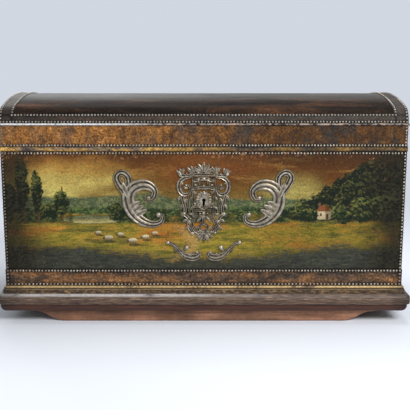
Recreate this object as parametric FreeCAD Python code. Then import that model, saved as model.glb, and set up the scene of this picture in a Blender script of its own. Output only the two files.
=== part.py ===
import FreeCAD
import Part
import math
import os
from FreeCAD import Vector

# Leather-covered coffer with a barrel lid, on a moulded base. Millimetres, +Z up, front towards -Y,
# origin on the floor under the middle of the box.

# Box of dovetailed boards under its leather
body_width = 1090.0
body_depth = 480.0
body_height = 372.0
board = 20.0
leather = 2.0
floor_board = 14.0
floor_groove = 8.0
floor_rise = 30.0
body_tails = 6
lid_tails = 2
tail_flare = 3.5
tail_root_share = 0.5

# Strips of leather nailed over the seams
strip = 1.5
lower_border = 46.0
rim_binding = 13.0
dome_end_border = 38.0
dome_long_border = 25.0

# Base: two runners with ogee ends, two bearers tenoned between them, mitred moulding round the box
plinth_height = 33.0
runner_thickness = 22.0
runner_setback = 4.0
runner_end_inset = 61.0
runner_toe = 4.0
ogee_run = 104.0
bearer_thickness = 22.0
bearer_inset = 34.0
tenon_length = 10.0
tenon_shoulder = 8.0
ovolo_lip = 4.0
ovolo_radius = 16.0
ovolo_fillet = 7.0
fascia_height = 16.0
fascia_out = 27.0
shoulder_height = 12.0
frieze_height = 10.6
frieze_out = 12.5
bead_fillet = 3.0
bead_fillet_out = 11.0
bead_radius = 3.2
bead_out = 6.0

# Barrel lid: rails and arched ends carry coopered staves on a three-centred arch
lid_clearance = 0.4
lid_rail = 75.0
lid_rise = 68.5
haunch_radius = 42.0
stave = 14.0
crown_staves = 5
glue_line = 0.2
edge_bead_radius = 3.0
edge_bead_flat = 1.0

# Lock: plate, cover, sliding bolt in two keepers, leaf spring, and the staple under the lid
keyhole_radius = 5.0
keyhole_slot = 6.4
keyhole_length = 17.0
lock_width = 120.0
lock_under_key = 27.0
lock_depth = 22.0
lock_wall = 2.0
lock_plate = 3.0
lock_margin = 14.0
lock_rim_gap = 3.0
bolt_thickness = 3.0
bolt_throw = 14.0
bolt_finger = 7.0
bolt_stem = 12.0
bolt_stem_out = 46.0
bolt_arm = 12.0
bolt_arm_reach = 24.0
bolt_arm_over_key = 12.0
talon_width = 8.0
talon_depth = 6.0
bolt_play = 0.3
keeper_width = 6.0
keeper_wall = 3.5
upper_keeper_out = 18.0
lower_keeper_out = 14.0
spring_radius = 50.0
spring_thickness = 1.5
spring_width = 8.0
spring_sweep = 55.0
spring_foot = 8.0
spring_stud_radius = 4.0
staple_width = 40.0
staple_height = 40.0
staple_plate = 3.0
staple_lift = 6.0
staple_arm = 12.0
tongue_thickness = 6.0
tongue_depth = 12.0
tongue_reach = 26.0
tongue_foot = 6.0
eye_width = 7.0
eye_height = 10.0
tongue_slot_play = 2.5

# Strap hinges on the back
hinge_spacing = 660.0
hinge_strap = 3.0
hinge_pin_radius = 3.5
hinge_pin_play = 0.05
hinge_pin_head = 2.5
hinge_pin_head_over = 1.5
hinge_standoff = 0.3
knuckle_count = 3
knuckle_length = 48.0
knuckle_gap = 0.4
knuckle_room = 0.6
strap_root = 12.0
strap_taper = 16.0
strap_waist = 30.0
body_strap_length = 165.0
body_strap_tip = 21.0
lid_strap_length = 58.0
lid_strap_tip = 18.0

# Bail handles on the ends
handle_drop = 178.0
handle_span = 116.0
rosette_radius = 17.0
rosette_rise = 3.5
rosette_swell_share = 0.75
post_neck_radius = 6.0
post_ball_radius = 8.5
post_reach = 13.0
bail_radius = 4.5
bail_pin_radius = 3.6
bail_pin_play = 0.06
bail_pin_end = 1.5
bail_arm_gap = 2.0
bail_drop = 58.0
bail_corner = 16.0
grip_radius = 7.0
grip_length = 76.0

# Cast mounts on the front: pierced escutcheon and four scrolls, in shares of the height of the bare leather
keyhole_drop_share = 0.405
escutcheon_width_share = 0.436
escutcheon_height_share = 0.70
escutcheon_drop_share = 0.069
shield_width_share = 0.123
shield_height_share = 0.19
upper_scroll_width_share = 0.448
upper_scroll_height_share = 0.512
upper_scroll_drop_share = 0.1365
upper_scroll_out_share = 0.764
lower_scroll_width_share = 0.304
lower_scroll_height_share = 0.175
lower_scroll_drop_share = 0.7546
lower_scroll_out_share = 0.327
boss_radius_share = 0.0215
escutcheon_relief = 4.5
shield_relief = 2.5
scroll_relief = 6.5
crest_share = 0.55
steps_per_span = 2

# One overrun serves all cuts
overrun = 5.0

# Strokes of the scrolls: across from the outer side, up from the foot, half width, all as shares
upper_scroll_shares = (
    (
        (0.62, 0.56, 0.030), (0.70, 0.54, 0.044), (0.765, 0.63, 0.054), (0.69, 0.725, 0.070),
        (0.55, 0.75, 0.086), (0.41, 0.69, 0.088), (0.325, 0.57, 0.080), (0.335, 0.42, 0.078),
        (0.41, 0.27, 0.080), (0.565, 0.138, 0.084), (0.75, 0.082, 0.074), (0.895, 0.138, 0.058),
        (0.93, 0.225, 0.045), (0.865, 0.27, 0.030),
    ),
    (
        (0.29, 0.50, 0.050), (0.213, 0.625, 0.058), (0.122, 0.738, 0.056), (0.066, 0.845, 0.052),
        (0.107, 0.93, 0.050), (0.195, 0.942, 0.050), (0.285, 0.895, 0.046), (0.298, 0.815, 0.036),
        (0.238, 0.79, 0.024),
    ),
    ((0.36, 0.32, 0.040), (0.46, 0.35, 0.052), (0.53, 0.40, 0.040), (0.575, 0.445, 0.014)),
)
lower_scroll_shares = (
    (
        (0.60, 0.72, 0.050), (0.56, 0.55, 0.072), (0.615, 0.345, 0.094), (0.745, 0.215, 0.104),
        (0.875, 0.25, 0.080), (0.945, 0.375, 0.052), (0.90, 0.47, 0.030),
    ),
    (
        (0.05, 0.93, 0.044), (0.20, 0.77, 0.052), (0.38, 0.55, 0.062), (0.53, 0.33, 0.072),
        (0.66, 0.22, 0.060),
    ),
)

# Strokes of the escutcheon's right half: out from the middle, up from the foot, half width, as shares
escutcheon_shares = (
    ((0.0, 0.815, 0.060), (0.0, 0.90, 0.085), (0.0, 0.998, 0.016)),
    ((0.12, 0.83, 0.040), (0.20, 0.895, 0.062), (0.29, 0.962, 0.016)),
    ((0.20, 0.815, 0.040), (0.36, 0.865, 0.060), (0.50, 0.925, 0.016)),
    ((0.40, 0.82, 0.036), (0.55, 0.86, 0.054), (0.68, 0.90, 0.016)),
    ((0.0, 0.822, 0.044), (0.22, 0.828, 0.044), (0.42, 0.806, 0.044)),
    (
        (0.40, 0.80, 0.040), (0.66, 0.812, 0.054), (0.875, 0.766, 0.060), (0.915, 0.69, 0.060),
        (0.79, 0.615, 0.056), (0.59, 0.616, 0.046), (0.51, 0.668, 0.034), (0.61, 0.708, 0.024),
    ),
    ((0.42, 0.825, 0.030), (0.42, 0.56, 0.030), (0.42, 0.29, 0.030)),
    ((0.10, 0.64, 0.040), (0.26, 0.675, 0.044), (0.42, 0.668, 0.040)),
    ((0.12, 0.42, 0.040), (0.26, 0.385, 0.044), (0.42, 0.395, 0.040)),
    (
        (0.76, 0.605, 0.044), (0.64, 0.535, 0.046), (0.65, 0.455, 0.046), (0.775, 0.395, 0.044),
        (0.83, 0.345, 0.034),
    ),
    (
        (0.83, 0.335, 0.034), (0.62, 0.285, 0.050), (0.44, 0.258, 0.050), (0.43, 0.185, 0.050),
        (0.465, 0.125, 0.050), (0.30, 0.070, 0.050), (0.0, 0.046, 0.046),
    ),
    ((0.0, 0.44, 0.048), (0.0, 0.235, 0.042), (0.0, 0.04, 0.050)),
    ((0.0, 0.195, 0.046), (0.22, 0.215, 0.046), (0.43, 0.225, 0.042)),
    ((0.0, 0.745, 0.050), (0.20, 0.765, 0.042), (0.42, 0.75, 0.040)),
    ((0.0, 0.07, 0.060), (0.0, 0.002, 0.018)),
)
escutcheon_boss_shares = ((0.92, 0.832), (0.83, 0.338), (0.0, 0.195), (0.0, 0.745))
shield_up_share = 0.52

# Places worked out from the sizes above
half_x = body_width / 2 - leather
half_y = body_depth / 2 - leather
fascia_low = ovolo_radius + ovolo_fillet
shoulder_low = fascia_low + fascia_height
frieze_low = shoulder_low + shoulder_height
bead_fillet_low = frieze_low + frieze_height
bead_low = bead_fillet_low + bead_fillet
moulding_height = bead_low + 2 * bead_radius
base_height = plinth_height + moulding_height
rim = base_height + body_height
lid_bottom = rim + lid_clearance
spring_line = lid_bottom + lid_rail
inner_y = half_y - board
crown_radius = ((half_y - haunch_radius) ** 2 + lid_rise**2 - haunch_radius**2) / (
    2 * (lid_rise - haunch_radius)
)
crown_low = spring_line + lid_rise - crown_radius
crown_angle = math.asin((half_y - haunch_radius) / (crown_radius - haunch_radius))
bare_height = body_height - lower_border
keyhole_drop = keyhole_drop_share * bare_height
escutcheon_width = escutcheon_width_share * bare_height
escutcheon_height = escutcheon_height_share * bare_height
escutcheon_low = rim - escutcheon_drop_share * bare_height - escutcheon_height
lock_top = rim - lock_rim_gap
lock_low = rim - keyhole_drop - lock_under_key
lock_face = -inner_y + lock_plate
keyhole_up = rim - keyhole_drop
bolt_middle = lock_face + (lock_depth - lock_wall) / 2
eye_up = rim - tongue_reach + tongue_foot + eye_height / 2
bolt_arm_low = keyhole_up + bolt_arm_over_key
knuckle_radius = hinge_pin_radius + hinge_pin_play + hinge_strap
hinge_y = half_y + leather + knuckle_radius + hinge_standoff
hinge_z = rim + lid_clearance / 2
handle_up = rim - handle_drop
handle_x = half_x + leather + post_reach
front_face = -(half_y + leather)
forward = Vector(0, -1, 0)


def block(x0, x1, y0, y1, z0, z1):
    return Part.makeBox(x1 - x0, y1 - y0, z1 - z0, Vector(x0, y0, z0))


def flipped_x(shape):
    return shape.mirror(Vector(0, 0, 0), Vector(1, 0, 0))


def flipped_y(shape):
    return shape.mirror(Vector(0, 0, 0), Vector(0, 1, 0))


def outline(place, start, *moves):
    """Closed face. place turns a pair into a point; a move is a pair, or (through, end) for an arc."""
    edges = []
    here = start
    closing = () if moves[-1][-1] == start else (start,)
    for move in (*moves, *closing):
        if isinstance(move[0], tuple):
            through, end = move
            edges.append(Part.Arc(place(*here), place(*through), place(*end)).toShape())
        else:
            end = move
            edges.append(Part.LineSegment(place(*here), place(*end)).toShape())
        here = end
    return Part.Face(Part.Wire(edges))


def ring_sector(y, z, inner, outer, start, stop, x0, x1):
    """Bar along X whose section is a sector of a ring about (y, z), angles in radians from +Y to +Z."""

    def place(radius, angle):
        return Vector(x0, y + radius * math.cos(angle), z + radius * math.sin(angle))

    middle = (start + stop) / 2
    face = outline(
        place,
        (outer, start),
        ((outer, middle), (outer, stop)),
        (inner, stop),
        ((inner, middle), (inner, start)),
    )
    return face.extrude(Vector(x1 - x0, 0, 0))


def corner_tails(z0, z1, count):
    """Dovetails of the right-hand end board, through the front board."""
    pitch = (z1 - z0) / count
    root = tail_root_share * pitch / 2
    tails = []
    for index in range(count):
        middle = z0 + (index + 1 / 2) * pitch
        face = outline(
            lambda y, z: Vector(half_x - board, y, z),
            (-inner_y, middle - root),
            (-half_y, middle - root - tail_flare),
            (-half_y, middle + root + tail_flare),
            (-inner_y, middle + root),
        )
        tails.append(face.extrude(Vector(board, 0, 0)))
    return tails


def long_board(z0, z1, count):
    """Front board with dovetail sockets at both ends."""
    tails = corner_tails(z0, z1, count)
    plain = block(-half_x, half_x, -half_y, -inner_y, z0, z1)
    return plain.cut(tails + [flipped_x(tail) for tail in tails])


def with_tails(end_board, z0, z1, count):
    """Right-hand end board with its dovetails, front and back."""
    tails = corner_tails(z0, z1, count)
    return end_board.fuse(tails + [flipped_y(tail) for tail in tails]).removeSplitter()


def mitred_sides(height, reach, z0, *profile):
    """Front and left lengths of a moulding round the box, mitred at the corners; profile is (out, up)."""

    def wedge(half_length, half_other, turn):
        face = outline(
            lambda along, out: turn(along, out, z0 - overrun),
            (-half_length, half_other),
            (half_length, half_other),
            (half_length + reach, half_other + reach),
            (-half_length - reach, half_other + reach),
        )
        return face.extrude(Vector(0, 0, height + 2 * overrun))

    def length(half_length, half_other, turn):
        face = outline(lambda out, up: turn(-half_length - reach, half_other + out, z0 + up), *profile)
        run = turn(2 * (half_length + reach), 0, 0)
        return face.extrude(run).common(wedge(half_length, half_other, turn))

    front = length(half_x, half_y, lambda along, out, up: Vector(along, -out, up))
    left = length(half_y, half_x, lambda along, out, up: Vector(-out, along, up))
    return front, left


def keyhole(y0, y1):
    """Cutter of the keyhole from y0 to y1: a round eye over a slot."""
    eye = Part.makeCylinder(keyhole_radius, y1 - y0, Vector(0, y0, keyhole_up), -forward)
    slot = block(-keyhole_slot / 2, keyhole_slot / 2, y0, y1, keyhole_up - keyhole_length, keyhole_up)
    return eye.fuse(slot)


def carcase():
    floor_low = plinth_height + floor_rise
    reach_x = half_x - board + floor_groove
    reach_y = inner_y + floor_groove
    floor = block(-reach_x, reach_x, -reach_y, reach_y, floor_low, floor_low + floor_board)
    front = long_board(plinth_height, rim, body_tails).cut(floor)
    end = block(half_x - board, half_x, -inner_y, inner_y, plinth_height, rim)
    end = with_tails(end, plinth_height, rim, body_tails).cut(floor)
    return {
        "front_board": front.cut(keyhole(-half_y - overrun, -inner_y + overrun)),
        "back_board": flipped_y(front),
        "left_end_board": flipped_x(end),
        "right_end_board": end,
        "floor_board": floor,
    }


def body_leather():
    wide = half_x + leather
    front = block(-wide, wide, front_face, -half_y, base_height, rim)
    end = block(half_x, wide, -half_y, half_y, base_height, rim)
    border_out = leather + strip
    borders = mitred_sides(
        lower_border, 2 * border_out, base_height,
        (leather, 0), (border_out, 0), (border_out, lower_border), (leather, lower_border),
    )
    return {
        "front_leather": front.cut(keyhole(front_face - overrun, -half_y + overrun)),
        "back_leather": flipped_y(front),
        "left_end_leather": flipped_x(end),
        "right_end_leather": end,
        "lower_border_strips": Part.makeCompound(all_sides(borders)),
    }


def all_sides(front_and_left):
    front, left = front_and_left
    return [front, flipped_y(front), left, flipped_x(left)]


def base_moulding():
    diagonal = math.sin(math.radians(45))
    slant = ovolo_radius * diagonal
    shoulder_middle = (
        frieze_out + (fascia_out - frieze_out) * diagonal, shoulder_low + shoulder_height * diagonal
    )
    sides = mitred_sides(
        moulding_height, 2 * fascia_out, plinth_height,
        (0, 0),
        (ovolo_lip, 0),
        ((ovolo_lip + slant, ovolo_radius - slant), (ovolo_lip + ovolo_radius, ovolo_radius)),
        (ovolo_lip + ovolo_radius, fascia_low),
        (fascia_out, fascia_low),
        (fascia_out, shoulder_low),
        (shoulder_middle, (frieze_out, frieze_low)),
        (frieze_out, bead_fillet_low),
        (bead_fillet_out, bead_fillet_low),
        (bead_fillet_out, bead_low),
        (bead_out, bead_low),
        ((bead_out + bead_radius, bead_low + bead_radius), (bead_out, moulding_height)),
        (0, moulding_height),
    )
    names = ("base_moulding_front", "base_moulding_back", "base_moulding_left", "base_moulding_right")
    return dict(zip(names, all_sides(sides)))


def plinth():
    toe_x = half_x - runner_end_inset
    foot_x = toe_x - ogee_run
    toe_z = plinth_height - runner_toe
    face_y = -half_y + runner_setback
    back_y = face_y + runner_thickness
    middle = ((toe_x + foot_x) / 2, toe_z / 2)
    radius = (ogee_run**2 + toe_z**2) / (4 * toe_z)
    half_turn = math.asin(ogee_run / 2 / radius) / 2
    bow_x = radius * math.sin(half_turn)
    bow_z = radius * (1 - math.cos(half_turn))
    runner = outline(
        lambda x, z: Vector(x, face_y, z),
        (-foot_x, 0),
        (foot_x, 0),
        ((foot_x + bow_x, bow_z), middle),
        ((toe_x - bow_x, toe_z - bow_z), (toe_x, toe_z)),
        (toe_x, plinth_height),
        (-toe_x, plinth_height),
        (-toe_x, toe_z),
        ((-toe_x + bow_x, toe_z - bow_z), (-middle[0], middle[1])),
        ((-foot_x - bow_x, bow_z), (-foot_x, 0)),
    ).extrude(Vector(0, runner_thickness, 0))
    bearer_x = foot_x - bearer_inset
    bearer = block(bearer_x - bearer_thickness, bearer_x, back_y, -back_y, 0, plinth_height)
    tenon = block(
        bearer_x - bearer_thickness, bearer_x, back_y - tenon_length, -back_y + tenon_length,
        tenon_shoulder, plinth_height - tenon_shoulder,
    )
    bearer = bearer.fuse(tenon).removeSplitter()
    front = runner.cut([bearer, flipped_x(bearer)])
    return {
        "plinth_front_runner": front,
        "plinth_back_runner": flipped_y(front),
        "plinth_left_bearer": flipped_x(bearer),
        "plinth_right_bearer": bearer,
    }


def arch_moves(offset):
    """Three-centred arch from the front springing to the back one, offset outwards from the staves."""
    haunch = haunch_radius + offset
    crown = crown_radius + offset
    centre = half_y - haunch_radius
    half_angle = (math.pi / 2 + crown_angle) / 2
    shoulder = (centre + haunch * math.sin(half_angle), spring_line + haunch * math.cos(half_angle))
    joint = (crown * math.sin(crown_angle), crown_low + crown * math.cos(crown_angle))
    foot = (half_y + offset, spring_line)
    start = (-foot[0], foot[1])
    moves = (
        ((-shoulder[0], shoulder[1]), (-joint[0], joint[1])),
        ((0, crown_low + crown), joint),
        (shoulder, foot),
    )
    return start, moves


def arch_shell(inner, outer, x0, x1):
    """Curved sheet over the lid between two offsets from the staves."""
    start, moves = arch_moves(outer)
    inner_start, inner_moves = arch_moves(inner)
    back = [inner_moves[2][1], (inner_moves[2][0], inner_moves[1][1])]
    back.append((inner_moves[1][0], inner_moves[0][1]))
    back.append((inner_moves[0][0], inner_start))
    face = outline(lambda y, z: Vector(x0, y, z), start, *moves, *back)
    return face.extrude(Vector(x1 - x0, 0, 0))


def lid_boards():
    rail = long_board(lid_bottom, spring_line, lid_tails)
    start, moves = arch_moves(-stave - glue_line)
    end = outline(
        lambda y, z: Vector(half_x - board, y, z),
        start, *moves,
        (inner_y, spring_line), (inner_y, lid_bottom), (-inner_y, lid_bottom), (-inner_y, spring_line),
    ).extrude(Vector(board, 0, 0))
    end = with_tails(end, lid_bottom, spring_line, lid_tails)
    return {
        "lid_front_rail": rail,
        "lid_back_rail": flipped_y(rail),
        "lid_left_end": flipped_x(end),
        "lid_right_end": end,
    }


def lid_staves():
    haunch = ring_sector(
        half_y - haunch_radius, spring_line, haunch_radius - stave, haunch_radius,
        0, math.pi / 2 - crown_angle, -half_x, half_x,
    )
    staves = [flipped_y(haunch)]
    step = 2 * crown_angle / crown_staves
    for index in range(crown_staves):
        start = math.pi / 2 + crown_angle - (index + 1) * step
        staves.append(
            ring_sector(
                0, crown_low, crown_radius - stave, crown_radius, start, start + step, -half_x, half_x
            )
        )
    staves.append(haunch)
    return {"lid_stave_%d" % (index + 1): shape for index, shape in enumerate(staves)}


def lid_leather():
    wide = half_x + leather
    front = block(-wide, wide, front_face, -half_y, lid_bottom, spring_line)
    start, moves = arch_moves(0)
    end = outline(
        lambda y, z: Vector(half_x, y, z), start, *moves, (half_y, lid_bottom), (-half_y, lid_bottom)
    ).extrude(Vector(leather, 0, 0))
    return {
        "lid_top_leather": arch_shell(glue_line, leather, -wide, wide),
        "lid_front_leather": front,
        "lid_back_leather": flipped_y(front),
        "lid_left_leather": flipped_x(end),
        "lid_right_leather": end,
        "dome_border_strips": dome_borders(wide),
        "lid_edge_bead": edge_bead(),
        "lid_rim_binding": rim_strips(),
    }


def dome_borders(wide):
    inner = leather + glue_line
    outer = leather + strip
    inside = wide - dome_end_border
    end = arch_shell(inner, outer, inside, wide)
    turn = dome_long_border / (haunch_radius + leather)
    back = ring_sector(
        half_y - haunch_radius, spring_line, haunch_radius + inner, haunch_radius + outer,
        0, turn, -inside, inside,
    )
    return Part.makeCompound([end, flipped_x(end), back, flipped_y(back)])


def edge_bead():
    """Half-round bead under the foot of the dome."""
    height = 2 * edge_bead_radius
    round_out = leather + edge_bead_flat
    sides = mitred_sides(
        height, 2 * (round_out + edge_bead_radius), spring_line - height,
        (leather, 0), (round_out, 0),
        ((round_out + edge_bead_radius, edge_bead_radius), (round_out, height)),
        (leather, height),
    )
    return Part.makeCompound(all_sides(sides))


def rim_strips():
    """Binding round the lower edge of the lid, left open at the back where the hinges lie."""
    out = leather + strip
    sides = all_sides(
        mitred_sides(
            rim_binding, 2 * out, lid_bottom,
            (leather, 0), (out, 0), (out, rim_binding), (leather, rim_binding),
        )
    )
    room = knuckle_length / 2 + hinge_pin_head + knuckle_room
    notch = block(
        hinge_spacing / 2 - room, hinge_spacing / 2 + room, half_y, half_y + leather + overrun,
        lid_bottom - overrun, lid_bottom + rim_binding + overrun,
    )
    sides[1] = sides[1].cut([notch, flipped_x(notch)])
    return Part.makeCompound([solid for side in sides for solid in side.Solids])


def lock_case():
    half = lock_width / 2
    back = lock_face + lock_depth
    plate = block(
        -half - lock_margin, half + lock_margin, -inner_y, lock_face, lock_low - lock_margin, lock_top
    )
    room = block(
        -half + lock_wall, half - lock_wall, lock_face, back - lock_wall,
        lock_low + lock_wall, lock_top - lock_wall,
    )
    slot_x = tongue_thickness / 2 + tongue_slot_play
    slot_y = tongue_depth / 2 + tongue_slot_play
    slot = block(
        -slot_x, slot_x, bolt_middle - slot_y, bolt_middle + slot_y,
        lock_top - lock_wall - overrun, lock_top + overrun,
    )
    cover = block(-half, half, lock_face, back, lock_low, lock_top).cut([room, slot])
    return {
        "lock_plate": plate.cut(keyhole(-inner_y - overrun, lock_face + overrun)),
        "lock_cover": cover,
        "lock_keepers": lock_keepers(),
        "lock_spring": lock_spring(),
    }


def lock_bolt():
    y0 = bolt_middle - bolt_thickness / 2
    y1 = bolt_middle + bolt_thickness / 2
    stem_in = bolt_stem - bolt_stem_out
    finger_low = eye_up - bolt_finger / 2
    finger_end = -tongue_thickness / 2 - keeper_wall
    arm_top = bolt_arm_low + bolt_arm
    talon_x = -bolt_throw / 2
    stem = block(-bolt_stem_out, stem_in, y0, y1, bolt_arm_low, finger_low + bolt_finger)
    finger = block(stem_in, finger_end, y0, y1, finger_low, finger_low + bolt_finger)
    arm = block(stem_in, bolt_arm_reach, y0, y1, bolt_arm_low, arm_top)
    talon = block(
        talon_x - talon_width / 2, talon_x + talon_width / 2, y0, y1,
        bolt_arm_low, bolt_arm_low + talon_depth,
    )
    return stem.fuse([finger, arm]).removeSplitter().cut(talon)


def keeper(x0, low, height):
    """Bridge on the lock plate with a tunnel for the bolt."""
    y0 = bolt_middle - bolt_thickness / 2 - bolt_play
    y1 = bolt_middle + bolt_thickness / 2 + bolt_play
    bridge = block(
        x0, x0 + keeper_width, lock_face, y1 + keeper_wall, low - keeper_wall, low + height + keeper_wall
    )
    tunnel = block(
        x0 - overrun, x0 + keeper_width + overrun, y0, y1, low - bolt_play, low + height + bolt_play
    )
    return bridge.cut(tunnel)


def lock_keepers():
    upper = keeper(-upper_keeper_out, eye_up - bolt_finger / 2, bolt_finger)
    lower = keeper(lower_keeper_out, bolt_arm_low, bolt_arm)
    return Part.makeCompound([upper, lower])


def lock_spring():
    """Leaf spring that bears on the bolt's lower arm, riveted to a stud on the lock plate."""
    bear_x = -spring_foot
    centre_z = bolt_arm_low + bolt_arm + bolt_play + spring_radius + spring_thickness
    y0 = bolt_middle - spring_width / 2

    def place(radius, angle):
        return Vector(bear_x + radius * math.sin(angle), y0, centre_z - radius * math.cos(angle))

    sweep = math.radians(spring_sweep)
    outer = spring_radius + spring_thickness
    leaf = outline(
        place,
        (outer, 0),
        ((outer, sweep / 2), (outer, sweep)),
        (spring_radius, sweep),
        ((spring_radius, sweep / 2), (spring_radius, 0)),
    ).extrude(Vector(0, spring_width, 0))
    end = place(outer, sweep)
    stud = Part.makeCylinder(
        spring_stud_radius, y0 + spring_width - lock_face, Vector(end.x, lock_face, end.z), -forward
    )
    return leaf.fuse(stud)


def lock_staple():
    """Plate inside the lid's front rail with a tongue whose eye takes the bolt."""
    plate_low = lid_bottom + staple_lift
    tongue_y0 = bolt_middle - tongue_depth / 2
    tongue_y1 = bolt_middle + tongue_depth / 2
    half = tongue_thickness / 2
    plate = block(
        -staple_width / 2, staple_width / 2, -inner_y, -inner_y + staple_plate,
        plate_low, plate_low + staple_height,
    )
    arm = block(-half, half, -inner_y + staple_plate, tongue_y1, plate_low, plate_low + staple_arm)
    tongue = block(-half, half, tongue_y0, tongue_y1, rim - tongue_reach, plate_low + staple_arm)
    eye = block(
        -half - overrun, half + overrun, bolt_middle - eye_width / 2, bolt_middle + eye_width / 2,
        eye_up - eye_height / 2, eye_up + eye_height / 2,
    )
    return plate.fuse([arm, tongue]).removeSplitter().cut(eye)


def knuckle(x0, x1, radius):
    return Part.makeCylinder(radius, x1 - x0, Vector(x0, hinge_y, hinge_z), Vector(1, 0, 0))


def hinge_leaf(length, tip, upward, own, other):
    """Strap that lies on the leather, rolled into the knuckles own; notched for the knuckles other."""
    way = 1 if upward else -1
    middle = hinge_spacing / 2
    face_y = half_y + leather
    root = knuckle_length / 2
    waist = strap_waist / 2
    tip_z = hinge_z + way * (length - tip)
    taper_z = hinge_z + way * (strap_root + strap_taper)
    strap = outline(
        lambda out, z: Vector(middle + out, face_y, z),
        (-root, hinge_z),
        (root, hinge_z),
        (root, hinge_z + way * strap_root),
        (waist, taper_z),
        (waist, tip_z),
        (-waist, tip_z),
        (-waist, taper_z),
        (-root, hinge_z + way * strap_root),
    ).extrude(Vector(0, hinge_strap, 0))
    end = Part.makeCylinder(tip, hinge_strap, Vector(middle, face_y, tip_z), -forward)
    rolls = [knuckle(x0, x1, knuckle_radius) for x0, x1 in own]
    leaf = strap.fuse([end] + rolls)
    room = knuckle_radius + knuckle_room
    for x0, x1 in other:
        leaf = leaf.cut(
            block(
                x0 - knuckle_gap, x1 + knuckle_gap, face_y - overrun, hinge_y + room + overrun,
                hinge_z - room, hinge_z + room,
            )
        )
    bore = knuckle(middle - knuckle_length, middle + knuckle_length, hinge_pin_radius + hinge_pin_play)
    return leaf.cut(bore).removeSplitter()


def hinges():
    middle = hinge_spacing / 2
    low = middle - knuckle_length / 2
    each = (knuckle_length - (knuckle_count - 1) * knuckle_gap) / knuckle_count
    starts = [low + index * (each + knuckle_gap) for index in range(knuckle_count)]
    spans = [(start, start + each) for start in starts]
    body_leaf = hinge_leaf(body_strap_length, body_strap_tip, False, spans[::2], spans[1::2])
    lid_leaf = hinge_leaf(lid_strap_length, lid_strap_tip, True, spans[1::2], spans[::2])
    head = hinge_pin_radius + hinge_pin_head_over
    high = middle + knuckle_length / 2
    pin = knuckle(low, high, hinge_pin_radius).fuse(
        [knuckle(low - hinge_pin_head, low, head), knuckle(high, high + hinge_pin_head, head)]
    )
    pieces = {"body_leaf": body_leaf, "lid_leaf": lid_leaf, "pin": pin.removeSplitter()}
    made = {}
    for name, shape in pieces.items():
        made["right_hinge_" + name] = shape
        made["left_hinge_" + name] = flipped_x(shape)
    return made


def handle_post():
    """Turned post on the right-hand end, in front of the middle: rosette, neck and bored ball."""
    face_x = half_x + leather
    profile = outline(
        lambda x, radius: Vector(face_x + x, -handle_span / 2, handle_up + radius),
        (0, 0),
        (0, rosette_radius),
        (
            (rosette_rise * rosette_swell_share, (rosette_radius + post_neck_radius) / 2),
            (rosette_rise, post_neck_radius),
        ),
        (post_reach, post_neck_radius),
        (post_reach, 0),
    )
    axis_point = Vector(face_x, -handle_span / 2, handle_up)
    turned = profile.revolve(axis_point, Vector(1, 0, 0), 360)
    ball = Part.makeSphere(post_ball_radius, Vector(handle_x, -handle_span / 2, handle_up))
    bore = Part.makeCylinder(
        bail_pin_radius + bail_pin_play, 2 * (post_ball_radius + overrun),
        Vector(handle_x, -handle_span / 2 - post_ball_radius - overrun, handle_up), -forward,
    )
    return turned.fuse(ball).cut(bore)


def bail():
    """Right-hand bail, hanging: a bent bar with a swelled grip and two pins turned in."""
    arm_y = handle_span / 2 + post_ball_radius + bail_arm_gap + bail_radius
    low = handle_up - bail_drop
    slant = bail_corner * (1 - math.sin(math.radians(45)))

    def place(y, z):
        return Vector(handle_x, y, z)

    corners = [place(-arm_y, handle_up), place(-arm_y, low + bail_corner)]
    bends = [place(-arm_y + slant, low + slant), place(-arm_y + bail_corner, low)]
    path = Part.Wire(
        [
            Part.LineSegment(corners[0], corners[1]).toShape(),
            Part.Arc(corners[1], bends[0], bends[1]).toShape(),
            Part.LineSegment(bends[1], place(0, low)).toShape(),
        ]
    )
    section = Part.Wire(Part.Circle(corners[0], Vector(0, 0, 1), bail_radius).toShape())
    half_bar = path.makePipeShell([section], True, False)
    knob = Part.makeSphere(bail_radius, corners[0])
    pin_end = handle_span / 2 - post_ball_radius - bail_pin_end
    pin = Part.makeCylinder(bail_pin_radius, arm_y - pin_end, place(-arm_y, handle_up), -forward)
    half_grip = grip_length / 2
    profile = outline(
        lambda y, radius: place(y, low + radius),
        (-half_grip, 0),
        (-half_grip, bail_radius),
        ((0, grip_radius), (half_grip, bail_radius)),
        (half_grip, 0),
    )
    grip = profile.revolve(place(0, low), Vector(0, 1, 0), 360)
    half_pieces = [half_bar, knob, pin]
    pieces = half_pieces + [flipped_y(piece) for piece in half_pieces]
    return grip.fuse(pieces).removeSplitter()


def handles():
    post = handle_post()
    posts = Part.makeCompound([post, flipped_y(post)])
    right = bail()
    return {
        "right_handle_posts": posts,
        "left_handle_posts": flipped_x(posts),
        "right_bail": right,
        "left_bail": flipped_x(right),
    }


def stroke(rows, place, width, relief):
    """Tapered ridge on the front leather along a smooth line through rows of (across, up, half width)."""
    points = [place(across, up) for across, up, _ in rows]
    curve = Part.BSplineCurve()
    curve.interpolate(Points=points, Parameters=[float(index) for index in range(len(points))])
    count = steps_per_span * (len(rows) - 1)
    sections = []
    for index in range(count + 1):
        where = index / steps_per_span
        span = min(int(where), len(rows) - 2)
        blend = where - span
        half = width * (rows[span][2] * (1 - blend) + rows[span + 1][2] * blend)
        middle = curve.value(where)
        side = curve.tangent(where)[0].cross(forward).normalize() * half
        crest = forward * relief
        ring = [middle - side, middle - side * crest_share + crest, middle + side * crest_share + crest]
        ring.append(middle + side)
        sections.append(Part.makePolygon(ring + ring[:1]))
    return Part.makeLoft(sections, True, True)


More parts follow.
